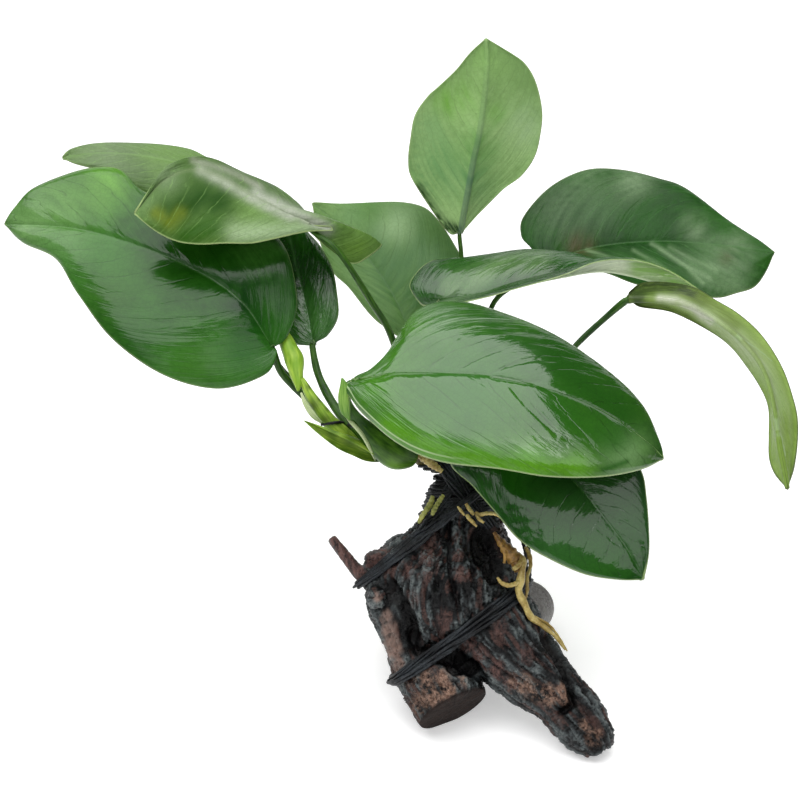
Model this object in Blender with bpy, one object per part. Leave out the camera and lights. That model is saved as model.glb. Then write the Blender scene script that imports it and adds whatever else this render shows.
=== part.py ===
"""An anubias plant tied with black thread to a forked piece of driftwood.

Every sub-part is laid out as an eye in front of the plant and a little above it sees it:
so many millimetres right of the middle of the view, up from it, and back behind it.
The result is in metres, +Z up, standing on z = 0.
"""
from math import cos, pi, radians, sin

import bmesh
import bpy
from mathutils import Vector
from mathutils.bvhtree import BVHTree

# ---- driving dimensions, millimetres unless the name says otherwise ----
MM = 0.001
VIEW_TILT = radians(30)        # how far down the eye looks
VIEW_DISTANCE = 700            # eye to the middle of the view
GROUND_DROP = 88.0             # the ground lies this far under the middle of the view
SHIFT_X = 0.8                  # brings the middle of the plant's box over the origin
SHIFT_Y = -12.3
SNUG_GAP = 0.45                # clearance round a faceted stem that another is cut to fit
THREAD_GAP = 0.9               # clearance under a band of thread

LEAF_THICKNESS = 0.8
LEAF_ROWS = 12                 # stations from the stalk's joint to the tip
LEAF_HALF_COLUMNS = 3          # strips on each side of the midrib
LOBE_FAN = 1.35                # how closely the rows crowd at the joint, to fan into the lobes
STALK_SIDES = 8
WOOD_SIDES = 16
ROOT_SIDES = 6
THREAD_SIDES = 6
WRAP_REACH = 90                # how far out a wrap starts to feel for the wood
WRAP_RAYS = 240                # directions in which it feels
WRAP_STEPS = 34                # straight runs in one turn of thread

# ---- colours, roughness ----
LEAF_DARK = ((0.035, 0.115, 0.030, 1), 0.28)
LEAF_BRIGHT = ((0.060, 0.200, 0.030, 1), 0.25)
LEAF_PALE = ((0.180, 0.330, 0.110, 1), 0.40)
STALK_GREEN = ((0.030, 0.080, 0.025, 1), 0.40)
YOUNG_GREEN = ((0.360, 0.480, 0.070, 1), 0.40)
RHIZOME_GREEN = ((0.060, 0.110, 0.025, 1), 0.50)
ROOT_TAN = ((0.520, 0.400, 0.130, 1), 0.55)
WOOD_CHAR = ((0.038, 0.030, 0.027, 1), 0.75)
THREAD_BLACK = ((0.012, 0.013, 0.016, 1), 0.90)


# ---- places ----
def seen(right, up, back):
    """The place that appears so far right and up from the view's middle, and back behind it."""
    spread = 1 + back / VIEW_DISTANCE
    x = right * spread
    rise = up * spread
    y = rise * sin(VIEW_TILT) + back * cos(VIEW_TILT)
    z = rise * cos(VIEW_TILT) - back * sin(VIEW_TILT)
    return Vector((x + SHIFT_X, y + SHIFT_Y, z + GROUND_DROP)) * MM


def smooth_path(points, count):
    """count places, evenly spaced along a Catmull-Rom curve through the points."""
    ends = [2 * points[0] - points[1]] + list(points) + [2 * points[-1] - points[-2]]
    fine = []
    for a, b, c, d in zip(ends, ends[1:], ends[2:], ends[3:]):
        for step in range(16):
            t = step / 16
            fine.append(0.5 * (2 * b + (c - a) * t + (2 * a - 5 * b + 4 * c - d) * t ** 2
                               + (3 * b - a - 3 * c + d) * t ** 3))
    fine.append(points[-1].copy())
    return even_path(fine, [i / (count - 1) for i in range(count)])


def even_path(fine, fractions):
    """Places at these fractions of the length of a fine polyline."""
    lengths = [0.0]
    for a, b in zip(fine, fine[1:]):
        lengths.append(lengths[-1] + (b.to_3d() - a.to_3d()).length)
    places = []
    leg = 0
    for fraction in fractions:
        want = fraction * lengths[-1]
        while leg < len(fine) - 2 and lengths[leg + 1] < want:
            leg += 1
        span = lengths[leg + 1] - lengths[leg]
        places.append(fine[leg].lerp(fine[leg + 1], (want - lengths[leg]) / span))
    return places


def stem_path(stations, count):
    """count places and radii along the curve through (right, up, back, radius) stations."""
    curve = smooth_path([Vector((*seen(*s[:3]), s[3] * MM)) for s in stations], count)
    return [p.to_3d() for p in curve], [p.w for p in curve]


# ---- making objects ----
def clear_scene():
    for thing in list(bpy.data.objects):
        bpy.data.objects.remove(thing, do_unlink=True)


def material(name, finish):
    colour, roughness = finish
    made = bpy.data.materials.new(name)
    made.use_nodes = True
    shader = made.node_tree.nodes["Principled BSDF"]
    shader.inputs["Base Color"].default_value = colour
    shader.inputs["Roughness"].default_value = roughness
    shader.inputs["Metallic"].default_value = 0.0
    made.diffuse_color = colour
    return made


def add_object(name, verts, faces, finish):
    mesh = bpy.data.meshes.new(name)
    mesh.from_pydata([tuple(v) for v in verts], [], faces)
    work = bmesh.new()
    work.from_mesh(mesh)
    bmesh.ops.recalc_face_normals(work, faces=work.faces)
    work.to_mesh(mesh)
    work.free()
    mesh.shade_smooth()
    mesh.materials.append(material(name + "_finish", finish))
    made = bpy.data.objects.new(name, mesh)
    bpy.context.scene.collection.objects.link(made)
    return made


def frames_along(path):
    """At each place: the direction of travel and two directions square to it, without twist."""
    frames = []
    side = None
    for i, place in enumerate(path):
        travel = (path[min(i + 1, len(path) - 1)] - path[max(i - 1, 0)]).normalized()
        if side is None:
            side = travel.cross(Vector((0, 1, 0))).normalized()
        side = (side - travel * side.dot(travel)).normalized()
        frames.append((travel, side, travel.cross(side)))
    return frames


def loft(name, path, radii, sides, finish, outline=None):
    """A closed tube through the path; outline(fraction, angle) scales each ring's radius."""
    verts = []
    faces = []
    frames = frames_along(path)
    for i, (place, radius, (_, side, lift)) in enumerate(zip(path, radii, frames)):
        for k in range(sides):
            angle = 2 * pi * k / sides
            scale = outline(i / (len(path) - 1), angle) if outline else 1.0
            verts.append(place + (side * cos(angle) + lift * sin(angle)) * radius * scale)
    for i in range(len(path) - 1):
        for k in range(sides):
            a = i * sides + k
            b = i * sides + (k + 1) % sides
            faces.append((a, b, b + sides, a + sides))
    faces.append(tuple(range(sides)))
    faces.append(tuple(range((len(path) - 1) * sides, len(path) * sides)))
    return add_object(name, verts, faces, finish)


def stem(name, stations, count, sides, finish):
    path, radii = stem_path(stations, count)
    return loft(name, path, radii, sides, finish)


# ---- leaves ----
def blade_rows(midrib, left, right, vault):
    """The blade's rows of places from joint to tip, each from its left edge to its right."""
    fractions = [i / LEAF_ROWS for i in range(LEAF_ROWS + 1)]
    crowded = [f ** LOBE_FAN for f in fractions]
    fine = 200
    middle = even_path(smooth_path([seen(*p) for p in midrib], fine), crowded)
    ends = (midrib[0], midrib[-1])
    edges = [even_path(smooth_path([seen(*p) for p in (ends[0], *side, ends[1])], fine), fractions)
             for side in (left, right)]
    rows = []
    for i in range(1, LEAF_ROWS):
        travel = middle[i + 1] - middle[i - 1]
        row = []
        for edge, turn in ((edges[0], 1), (edges[1], -1)):
            reach = edge[i] - middle[i]
            upper = travel.cross(reach).normalized() * turn
            half = []
            for k in range(1, LEAF_HALF_COLUMNS + 1):
                s = k / LEAF_HALF_COLUMNS
                bulge = vault * 4 * s * (1 - s) * reach.length
                half.append(middle[i] + reach * s + upper * bulge)
            row.append(half)
        rows.append(row[0][::-1] + [middle[i]] + row[1])
    return middle[0], rows, middle[-1]


def leaf(name, midrib, left, right, finish, vault=0.06):
    """A thin closed blade, thickest inside and sharp at its rim."""
    joint, rows, tip = blade_rows(midrib, left, right, vault)
    columns = len(rows[0])
    verts = [joint, tip]
    upper = {}
    under = {}
    for i, row in enumerate(rows):
        above = rows[max(i - 1, 0)]
        below = rows[min(i + 1, len(rows) - 1)]
        for k, place in enumerate(row):
            if k in (0, columns - 1):
                verts.append(place)
                upper[i, k] = under[i, k] = len(verts) - 1
                continue
            normal = (below[k] - above[k]).cross(row[k - 1] - row[k + 1]).normalized()
            offset = normal * LEAF_THICKNESS / 2 * MM
            verts += [place + offset, place - offset]
            upper[i, k] = len(verts) - 2
            under[i, k] = len(verts) - 1
    faces = []
    last = len(rows) - 1
    for sheet, flip in ((upper, False), (under, True)):
        patch = []
        for k in range(columns - 1):
            patch.append((0, sheet[0, k], sheet[0, k + 1]))
            patch.append((1, sheet[last, k + 1], sheet[last, k]))
            for i in range(last):
                patch.append((sheet[i, k], sheet[i + 1, k], sheet[i + 1, k + 1], sheet[i, k + 1]))
        faces += [face[::-1] for face in patch] if flip else patch
    return add_object(name, verts, faces, finish)


# Each leaf: midrib from joint to tip, then the two edges between them, as (right, up, back).
# "left" and "right" are as seen on the upper face, looking from the joint to the tip.
LEAVES = {
    "leaf_front": dict(
        midrib=[(-14.4, 5.7, -18), (0, 7, -22), (15, 7.2, -25), (30, 6, -26), (45, 2.3, -27),
                (62, -5, -26), (79.2, -17.7, -22)],
        left=[(-13, 7.5, -17), (-7.2, 10.2, -16), (-3, 15, -14), (1, 21.5, -10), (6, 27.6, -7),
              (16.2, 30, -5), (30, 27, -6), (47, 20, -9), (62.7, 9, -14), (73, -1.2, -18),
              (78, -12, -21)],
        right=[(-16.8, 3, -19), (-15, 0.5, -21), (-11, -4.5, -25), (0, -13.5, -32),
               (12.3, -18.5, -37), (30, -20.6, -40), (45, -22.9, -40), (61, -22.9, -37),
               (73, -20.7, -29)],
        finish=LEAF_BRIGHT),
    "leaf_left": dict(
        midrib=[(-38.4, 15.9, 0), (-48, 30, -1), (-63, 39.6, 2), (-81, 47, 7), (-99, 51.6, 12),
                (-118.8, 52.8, 18)],
        left=[(-37.2, 13.2, -1), (-40.5, 7.5, -3), (-54.3, 3.3, -6), (-71, 7.5, -7),
              (-86.4, 18.3, -3), (-97, 32, 4), (-103.8, 42.6, 9), (-114, 47.4, 15)],
        right=[(-33.6, 18.9, 0), (-30.6, 30, 1), (-35, 47.4, 5), (-48, 55, 8), (-63, 59, 11),
               (-76.5, 63, 14), (-84, 69.5, 16), (-94.8, 69.6, 19), (-110, 64.2, 19),
               (-116, 58, 18.5)],
        finish=LEAF_DARK),
    "leaf_upper_left": dict(
        midrib=[(-27.6, 52.2, -4), (-37.8, 57.9, -5), (-46.2, 62.4, -5), (-54.6, 67.2, -4),
                (-63, 69, -4), (-72, 65, -6), (-79.8, 55.8, -10)],
        left=[(-20, 51.4, -3), (-27.9, 50.6, -7), (-38.4, 48.3, -11), (-45, 47.1, -12),
              (-52.5, 47.1, -13), (-60.3, 46.8, -13), (-67.2, 47.7, -13), (-73.5, 50.7, -12)],
        right=[(-22, 46, 0), (-14.5, 41, 2), (-9.6, 42.6, 3), (-4.8, 47.1, 5), (-10.8, 50.1, 6),
               (-19, 51.2, 6), (-24.5, 53.8, 8), (-29.4, 59.1, 9), (-35.7, 63.9, 10),
               (-46.2, 68.4, 9), (-54.6, 72.3, 6), (-61, 73.3, 1), (-67, 71.8, -3),
               (-71, 69, -5), (-76, 62, -8)],
        finish=LEAF_DARK),
    "leaf_back_left": dict(
        midrib=[(-45, 60, 30), (-60, 69, 30), (-76, 73, 29), (-90, 74, 28), (-101.4, 72.6, 27)],
        left=[(-44, 56, 28), (-55, 53, 26), (-70, 58, 24), (-80, 64, 23), (-90, 69, 24),
              (-98, 71, 26)],
        right=[(-44, 64, 33), (-51, 69, 35), (-60, 73.8, 36), (-65, 75.6, 36), (-76, 77.1, 35),
               (-88.5, 77.1, 32), (-98, 75.3, 29)],
        finish=LEAF_PALE),
    "leaf_low_left": dict(
        midrib=[(-26, 17, 9), (-28, 28, 12), (-31, 40, 15), (-34, 52, 17), (-38, 61, 18)],
        left=[(-28, 16.3, 9), (-33, 17.5, 10), (-39, 25, 13), (-42, 36, 17), (-42, 48, 19),
              (-40, 56, 19)],
        right=[(-21.9, 19.2, 8), (-18.6, 25, 8), (-19, 33, 10), (-20.4, 39.9, 12),
               (-24, 46.5, 14), (-28, 51, 16), (-33, 57, 17)],
        finish=LEAF_DARK),
    "leaf_upright": dict(
        midrib=[(18, 50.4, 36), (20.1, 61.2, 31), (21.9, 71.1, 27), (23.7, 79.5, 23),
                (25.2, 90, 19), (26.1, 100.5, 15), (25.8, 108.6, 12)],
        left=[(19.5, 51.2, 36), (24.3, 56.7, 36), (30.3, 62.7, 34), (36.3, 67.2, 33),
              (40.5, 73.2, 31), (42.3, 80.7, 28), (42.6, 87.3, 25), (40.8, 95.4, 21),
              (37.8, 100.8, 18), (33.6, 104.1, 16)],
        right=[(14.4, 50.1, 35), (8.1, 58.8, 34), (3.3, 66.9, 33), (2.4, 72.3, 31),
               (3, 78.3, 29), (4.5, 85.8, 26), (8.4, 91.5, 23), (11.7, 94.5, 21),
               (16.8, 99.3, 18), (21, 104.4, 15)],
        finish=LEAF_PALE),
    "leaf_middle_back": dict(
        midrib=[(3, 21, 38), (-3, 33, 42), (-10, 43, 45), (-18, 52, 47), (-26.4, 59.1, 48)],
        left=[(0, 19, 37), (-5.1, 22.5, 37), (-9.6, 26.4, 39), (-15.6, 33.9, 42),
              (-20.7, 39, 44), (-24.6, 48.9, 46)],
        right=[(8, 19, 39), (15, 24, 42), (20, 33, 45), (18.6, 42, 47), (16.5, 46.5, 48),
               (12, 53.4, 49), (7.5, 57.9, 50), (0.6, 59.7, 51), (-8.7, 59.7, 51),
               (-17.7, 59.1, 50)],
        finish=LEAF_PALE),
    "leaf_arching": dict(
        midrib=[(11.1, 29.8, 18), (22, 31, 18), (34.5, 34.4, 19), (49, 37.4, 20), (60, 39, 21),
                (70.2, 37.4, 22), (81.6, 33.8, 23), (95.1, 29.1, 24)],
        left=[(6, 29, 19), (2.4, 34.5, 21), (5.1, 39.6, 24), (9.3, 42.6, 27), (13.8, 43.2, 29),
              (19.5, 43.5, 30), (27.6, 44.4, 31), (37.2, 45.6, 32), (49, 45, 32),
              (57, 43.2, 31), (66, 39.5, 29), (80, 35.5, 27)],
        right=[(12.5, 28.9, 15), (18, 29.4, 8), (27.6, 31.6, 4), (34.5, 33.8, 4), (42.3, 36, 5),
               (50, 38.3, 6), (58, 41.6, 8), (66, 42.6, 11), (75, 41.4, 14), (84, 37.5, 18)],
        finish=LEAF_DARK),
    "leaf_upper_right": dict(
        midrib=[(43.5, 41.4, 41), (60, 46, 44), (78, 47.5, 45), (95, 46.5, 44),
                (112.5, 44.4, 41)],
        left=[(39, 45.6, 43), (36.1, 49.5, 45), (36.9, 55.5, 48), (45, 64.2, 54),
              (55.8, 69.3, 57), (66.6, 69.3, 58), (77.7, 66.9, 57), (86, 63.9, 55),
              (99, 54.3, 50), (108, 48.3, 45)],
        right=[(44, 39, 38), (52, 38.5, 35), (61, 38.5, 33), (72, 34.8, 32), (84, 32.6, 33),
               (94.8, 30.9, 34), (101, 32.2, 36), (106.5, 34.1, 37), (110, 38.5, 39)],
        finish=LEAF_DARK),
    "leaf_drooping": dict(
        midrib=[(68.7, 30.3, 7), (76, 30.2, 5), (87, 28.4, 3), (97, 22.5, 1), (104, 16.2, 0),
                (109, 9, -1), (112, -1, -2), (114, -14, -2), (116.4, -27, -2)],
        left=[(72, 28.2, 9), (82.5, 26.7, 12), (93.9, 20.7, 13), (99.9, 16.2, 13),
              (104.4, 10.5, 12), (108.6, 4.2, 11), (111, -2, 10), (111, -10.5, 8),
              (111.2, -17.4, 6), (113, -22.5, 2)],
        right=[(68.6, 32, 10), (73.8, 34.8, 17), (87, 33.6, 19), (94.8, 29.4, 19),
               (100.8, 25.8, 18), (106.8, 20.7, 17), (111.3, 15, 15), (114.9, 8.7, 13),
               (117.2, 2.4, 11), (118.8, -4.5, 9), (118.8, -11.4, 7), (117.9, -19.8, 3)],
        finish=LEAF_PALE),
    "leaf_low_right": dict(
        midrib=[(40.5, -9.6, -9), (48, -20, -12), (56.5, -29.5, -15), (67, -43, -19),
                (73, -54, -22)],
        left=[(46, -6.5, -8), (58, -8, -8), (68, -13, -10), (72.9, -21.6, -12),
              (74.2, -29, -14), (74.8, -38, -17), (74.7, -46.2, -20)],
        right=[(34, -6.5, -9), (24, -9, -12), (15, -18.3, -15), (21.9, -26.1, -16),
               (28.2, -33.3, -18), (35.1, -41.4, -20), (43.2, -46.8, -22), (55.2, -52.2, -23),
               (66, -54, -23)],
        finish=LEAF_DARK),
}

# Each stalk runs from just under its leaf's joint down to the rhizome. Stations along it are
# (right, up, back, radius).
STALKS = {
    "stalk_front": [(-15.6, 4.2, -18, 1.1), (-16.4, 0.6, -17, 1.5), (-14.6, -3.6, -15, 1.8),
                    (-11, -8.2, -11, 2.8), (-6, -12.4, -7, 4.6), (-1, -15.6, -3.8, 5.2),
                    (3, -17.2, -2, 3.4), (4, -17.6, -1, 1.6)],
    "stalk_left": [(-37.9, 14.4, 0.8, 0.9), (-35.5, 8, 3, 0.9), (-31, 1, 5, 1.0),
                   (-24, -6, 6, 1.1), (-16, -12, 5, 1.2), (-12.4, -13.8, 4, 1.2)],
    "stalk_upper_left": [(-25.6, 50, -3, 0.8), (-20.1, 46.2, -5, 0.9),
                         (-15.6, 40.5, -4, 0.9), (-9, 30, 2, 1.0), (-3, 20, 8, 1.0),
                         (1, 6, 9, 1.1), (2, -6, 7, 1.2), (1.5, -10.6, 5.6, 1.2)],
    "stalk_back_left": [(-44.2, 58.8, 30.5, 0.8), (-43, 48, 29, 0.8), (-43, 32, 24, 0.9),
                        (-42, 18, 19, 0.9), (-37, 7, 15, 1.0), (-28, -3, 13, 1.0),
                        (-16, -10.4, 10, 1.1), (-10, -11.6, 8, 1.1)],
    "stalk_low_left": [(-26.2, 15.7, 9, 0.9), (-24.6, 8, 7, 0.9), (-20.5, 0, 3, 1.0),
                       (-15.5, -7.4, -1, 1.1), (-11.6, -11.6, -0.6, 1.2)],
    "stalk_upright": [(17.9, 49, 36.8, 0.7), (18.5, 42, 40, 0.7), (18.5, 30, 39, 0.8),
                      (16.5, 10, 29, 0.8), (13, -6, 16, 0.9), (11.5, -14.2, 10, 1.0)],
    "stalk_middle_back": [(3.6, 19.6, 37.6, 0.8), (6, 10, 32, 0.8), (6.5, -3, 20, 0.9),
                          (6, -9, 13, 0.9), (6, -12, 9.8, 1.0)],
    "stalk_arching": [(11.6, 28.4, 18.8, 0.8), (12.5, 18, 17, 0.8), (11.5, 2, 11, 0.9),
                      (9.5, -8, 6, 0.9), (9, -12.4, 4.4, 1.0)],
    "stalk_upper_right": [(42.5, 40.2, 40.6, 0.8), (36, 35.5, 37, 0.8), (28, 29, 33, 0.8),
                          (24, 14, 24, 0.9), (20, -3, 13, 0.9), (18, -10, 8, 1.0),
                          (17.5, -14.2, 6.6, 1.0)],
    "stalk_drooping": [(67.4, 29.6, 7.6, 1.1), (61.8, 24.9, 10, 1.0), (52.8, 16.5, 11, 0.9),
                       (42, 4, 9, 0.9), (30, -8, 6, 0.9), (25.5, -14.4, 5.4, 0.9)],
    "stalk_low_right": [(39.9, -10.6, -7.4, 0.9), (41.4, -13, -3.6, 1.0), (41, -17, 0, 1.1),
                        (39.4, -21, 3.2, 1.1)],
}


def leaves_and_stalks():
    for name, shape in LEAVES.items():
        leaf(name, **shape)
    for name, stations in STALKS.items():
        stem(name, stations, 11, STALK_SIDES, STALK_GREEN)


# ---- crown: rhizome, new leaf, sheath ----
RHIZOME = [(-8, -12.4, 4, 2.6), (-3, -13.6, 5, 3.0), (4, -15, 6, 3.2), (11, -18, 6, 3.8),
           (20, -20, 6, 4.0), (28, -20.6, 6, 3.7), (34.5, -23, 6, 3.2), (39, -25, 6, 2.2)]
NEW_GROWTH = {
    "new_leaf_roll": [(-34.6, 16.4, -2, 0.5), (-33.2, 11.6, -2.4, 3.2), (-31.2, 6.4, -3, 2.8),
                      (-30, 3.8, -3, 1.0)],
    "new_leaf_stalk": [(-29.9, 2.7, -3, 1.4), (-27, -0.8, -3.5, 2.4), (-23, -5, -4, 3.0),
                       (-18.5, -9.8, -3.2, 3.0), (-16, -12.4, -1.5, 1.6)],
    "lower_sheath": [(-29.3, -6.5, -7, 0.4), (-24, -9.8, -8.5, 1.6), (-18, -13.2, -10, 2.9),
                     (-13.5, -15.6, -9, 3.0), (-11.4, -17, -6.4, 1.4)],
}


def crown():
    """The new growth, and the rhizome, which is given back."""
    for name, stations in NEW_GROWTH.items():
        stem(name, stations, 9, STALK_SIDES, YOUNG_GREEN)
    return stem("rhizome", RHIZOME, 14, 12, RHIZOME_GREEN)


# ---- driftwood: each stem's stations as (right, up, back, radius) ----
WOOD = {
    "driftwood_trunk": dict(
        stations=[(20, -24.8, 6, 7.6), (20, -31, 6, 9), (19, -37, 6.4, 12.4),
                  (17.6, -43.5, 7, 17), (16, -50, 7.6, 22.4), (14.8, -56, 8, 24.6),
                  (15.2, -62, 8.4, 24), (17, -70, 8.6, 21), (18.6, -77, 8.6, 15)],
        count=11, ridges=5, depth=0.04, flat=0.72),
    "driftwood_left_stem": dict(
        stations=[(-6.2, -55, 4, 3.6), (-4.6, -60, 1, 5.6), (1.2, -69, 2, 7.2),
                  (7.2, -78.5, 4, 9.8), (12.4, -86, 2.4, 12.2), (15.2, -90.2, -0.6, 12.2),
                  (16, -91.4, -1.4, 11)],
        count=9, ridges=4, depth=0.03),
    "driftwood_right_prong": dict(
        stations=[(29, -69, 4, 14), (36, -78, 1, 12), (47, -88.6, -4, 9.8),
                  (54.6, -97.4, -7.6, 8.8), (58.6, -102.4, -8.6, 7.6), (60.4, -104.6, -8.8, 5)],
        count=9, ridges=4, depth=0.04, flat=0.9),
    "driftwood_rear_stub": dict(
        stations=[(28, -80, 12, 7), (31, -74, 25, 7.8), (35, -66.6, 38, 8.6),
                  (37.8, -62.1, 49, 9.1), (38.2, -61.6, 51, 8.4)],
        count=7, ridges=3, depth=0.01, sides=14),
    "driftwood_back_leg": dict(
        stations=[(9, -56, 18, 10), (5, -61.5, 28, 9), (2.6, -67, 38, 8), (1.6, -70, 46, 7)],
        count=6, ridges=4, depth=0.04, flat=0.9, sides=12),
    "driftwood_blade": dict(
        stations=[(-8, -50.4, 5, 4.4), (-14, -47.8, 4, 3.2), (-18, -44.5, 3, 2.4),
                  (-20.4, -41.6, 2, 1.3)],
        count=5, ridges=2, depth=0.02, flat=0.5, sides=8),
    "driftwood_twig_end": dict(
        stations=[(-6.6, -58.6, -2, 3.2), (-6.8, -59.2, -6.6, 3.0), (-6.9, -59.4, -9, 2.6)],
        count=3, ridges=3, depth=0.04, sides=8),
}


def wood_stem(name, stations, count, ridges, depth, flat=1.0, sides=WOOD_SIDES):
    """A stem of wood with shallow ridges; flat is its depth, front to back, over its width."""
    path, radii = stem_path(stations, count)

    def outline(fraction, angle):
        bark = depth * sin(ridges * angle + 0.6 * sin(3 * fraction + ridges))
        lean = 0.6 * depth * sin(2 * angle + 5 * fraction)
        return (1 + bark + lean) * (1 - (1 - flat) * sin(angle) ** 2)
    return loft(name, path, radii, sides, WOOD_CHAR, outline)


def cut(piece, cutter):
    """Takes the cutter's room out of the piece, and keeps the cutter as a hidden guide."""
    cutter.hide_render = True
    cutter.display_type = "WIRE"
    step = piece.modifiers.new("cut", "BOOLEAN")
    step.operation = "DIFFERENCE"
    step.solver = "EXACT"
    step.use_self = True
    step.object = cutter


def ground_cutter():
    """Everything under z = 0, as far as the wood reaches."""
    deep = 0.05
    reach = 0.15
    verts = [(x, y, z) for z in (-deep, 0) for x in (-reach, reach) for y in (-reach, reach)]
    faces = [(0, 1, 3, 2), (4, 6, 7, 5), (0, 4, 5, 1), (2, 3, 7, 6), (0, 2, 6, 4), (1, 5, 7, 3)]
    return add_object("ground_cutter", verts, faces, WOOD_CHAR)


def boxes_meet(one, other):
    """Whether the boxes around two objects overlap."""
    spans = []
    for thing in (one, other):
        places = [v.co for v in thing.data.vertices]
        spans.append([(min(p[i] for p in places), max(p[i] for p in places)) for i in range(3)])
    return all(a[0] < b[1] and b[0] < a[1] for a, b in zip(*spans))


def driftwood():
    """Every stem, each cut to fit the ones before it with the gap between, and the ground."""
    ground = ground_cutter()
    made = {}
    for name, shape in WOOD.items():
        piece = wood_stem(name, **shape)
        for earlier in made:
            room_shape = dict(WOOD[earlier])
            room_shape["stations"] = [(*s[:3], s[3] + SNUG_GAP) for s in room_shape["stations"]]
            room = wood_stem(f"room_in_{name}_for_{earlier}", **room_shape)
            if boxes_meet(piece, room):
                cut(piece, room)
            else:
                bpy.data.objects.remove(room, do_unlink=True)
        if boxes_meet(piece, ground):
            cut(piece, ground)
        made[name] = piece
    return made


# ---- what lies on the wood ----
def search_tree(pieces):
    """One search tree over the evaluated meshes of several pieces."""
    depsgraph = bpy.context.evaluated_depsgraph_get()
    verts = []
    faces = []
    for piece in pieces:
        mesh = piece.evaluated_get(depsgraph).data
        start = len(verts)
        verts += [v.co.copy() for v in mesh.vertices]
        faces += [[start + i for i in face.vertices] for face in mesh.polygons]
    return BVHTree.FromPolygons(verts, faces)


def lying_stem(name, stations, core, count, sides, finish):
    """A stem pushed out to lie on the core wherever its path would enter it."""
    path, radii = stem_path(stations, count)
    clear = []
    for place, radius in zip(path, radii):
        hit, normal, _, distance = core.find_nearest(place)
        room = radius + SNUG_GAP * MM
        inside = (place - hit).dot(normal) < 0
        clear.append(hit + normal * room if inside or distance < room else place)
    return loft(name, clear, radii, sides, finish)


ROOTS = {
    "root_main": [(34, -44.5, -5, 1.4), (36.3, -48.6, -5.4, 1.4), (36, -54, -6.4, 1.4),
                  (36.2, -58, -7, 1.3), (38, -62.5, -7, 1.3), (41, -65.6, -6, 1.2),
                  (46, -70, -3.5, 1.0), (49.4, -74.4, -3, 0.8)],
    "root_side": [(28.6, -53.6, -10, 0.8), (31, -55, -10, 0.8), (33, -55.2, -9.6, 0.8)],
    "root_left_outer": [(12.2, -31.6, -6, 1.2), (9.6, -34, -6.4, 1.2), (7, -37, -5, 1.1)],
    "root_left_inner": [(14.6, -32.2, -8, 0.9), (13, -34, -8.8, 0.9), (11, -36.4, -8.6, 0.8)],
    "root_right_upper": [(23.4, -34, -9.4, 0.8), (26, -33.7, -9.6, 0.8), (29.6, -33.9, -8, 0.7)],
    "root_right_lower": [(22, -36.3, -10.4, 0.8), (23.6, -38, -10.8, 0.7),
                         (25.4, -40, -10.8, 0.6)],
}


def roots(core):
    return [lying_stem(name, stations, core, 2 * len(stations) - 1, ROOT_SIDES, ROOT_TAN)
            for name, stations in ROOTS.items()]


# ---- thread ----
def turn(a, b, c):
    """Above zero where the way from a to b to c turns left."""
    return (b[0] - a[0]) * (c[1] - a[1]) - (b[1] - a[1]) * (c[0] - a[0])


def taut_outline(places):
    """The outline that a taut thread takes around flat (across, deep) places."""
    halves = []
    for ordered in (sorted(places), sorted(places, reverse=True)):
        chain = []
        for p in ordered:
            while len(chain) > 1 and turn(chain[-2], chain[-1], p) <= 0:
                chain.pop()
            chain.append(p)
        halves.append(chain[:-1])
    return halves[0] + halves[1]


def wrap(name, start, end, width, thick, core):
    """A flat band of thread pulled tight round the core, in the plane of sight through a line."""
    first = seen(*start)
    last = seen(*end)
    middle = (first + last) / 2
    across = (last - first).normalized()
    sight = seen(0, 0, 1) - seen(0, 0, 0)
    deep = (sight - across * sight.dot(across)).normalized()
    side = across.cross(deep)
    reach = WRAP_REACH * MM
    half_width = width / 2 * MM
    hits = []
    for slip in (-half_width, -half_width / 2, 0, half_width / 2, half_width):
        for k in range(WRAP_RAYS):
            angle = 2 * pi * k / WRAP_RAYS
            ray = across * cos(angle) + deep * sin(angle)
            hit = core.ray_cast(middle + side * slip + ray * reach, -ray, reach)[0]
            if hit is not None:
                hits.append(((hit - middle).dot(across), (hit - middle).dot(deep)))
    outline = taut_outline(hits)
    outline = [Vector((*p, 0)) for p in outline + outline[:1]]
    ring = even_path(outline, [i / WRAP_STEPS for i in range(WRAP_STEPS)])
    inner = THREAD_GAP * MM
    outer = inner + thick * MM
    section = ((inner, -1), (outer, -0.7), (outer, 0.7), (inner, 1))
    verts = []
    faces = []
    for i, place in enumerate(ring):
        along = ring[(i + 1) % WRAP_STEPS] - ring[i - 1]
        out = Vector((along.y, -along.x, 0)).normalized()
        for rise, slip in section:
            spot = place + out * rise
            verts.append(middle + across * spot.x + deep * spot.y + side * slip * half_width)
    for i in range(WRAP_STEPS):
        for k in range(4):
            near = i * 4
            far = (i + 1) % WRAP_STEPS * 4
            faces.append((near + k, near + (k + 1) % 4, far + (k + 1) % 4, far + k))
    return add_object(name, verts, faces, THREAD_BLACK)


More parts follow.
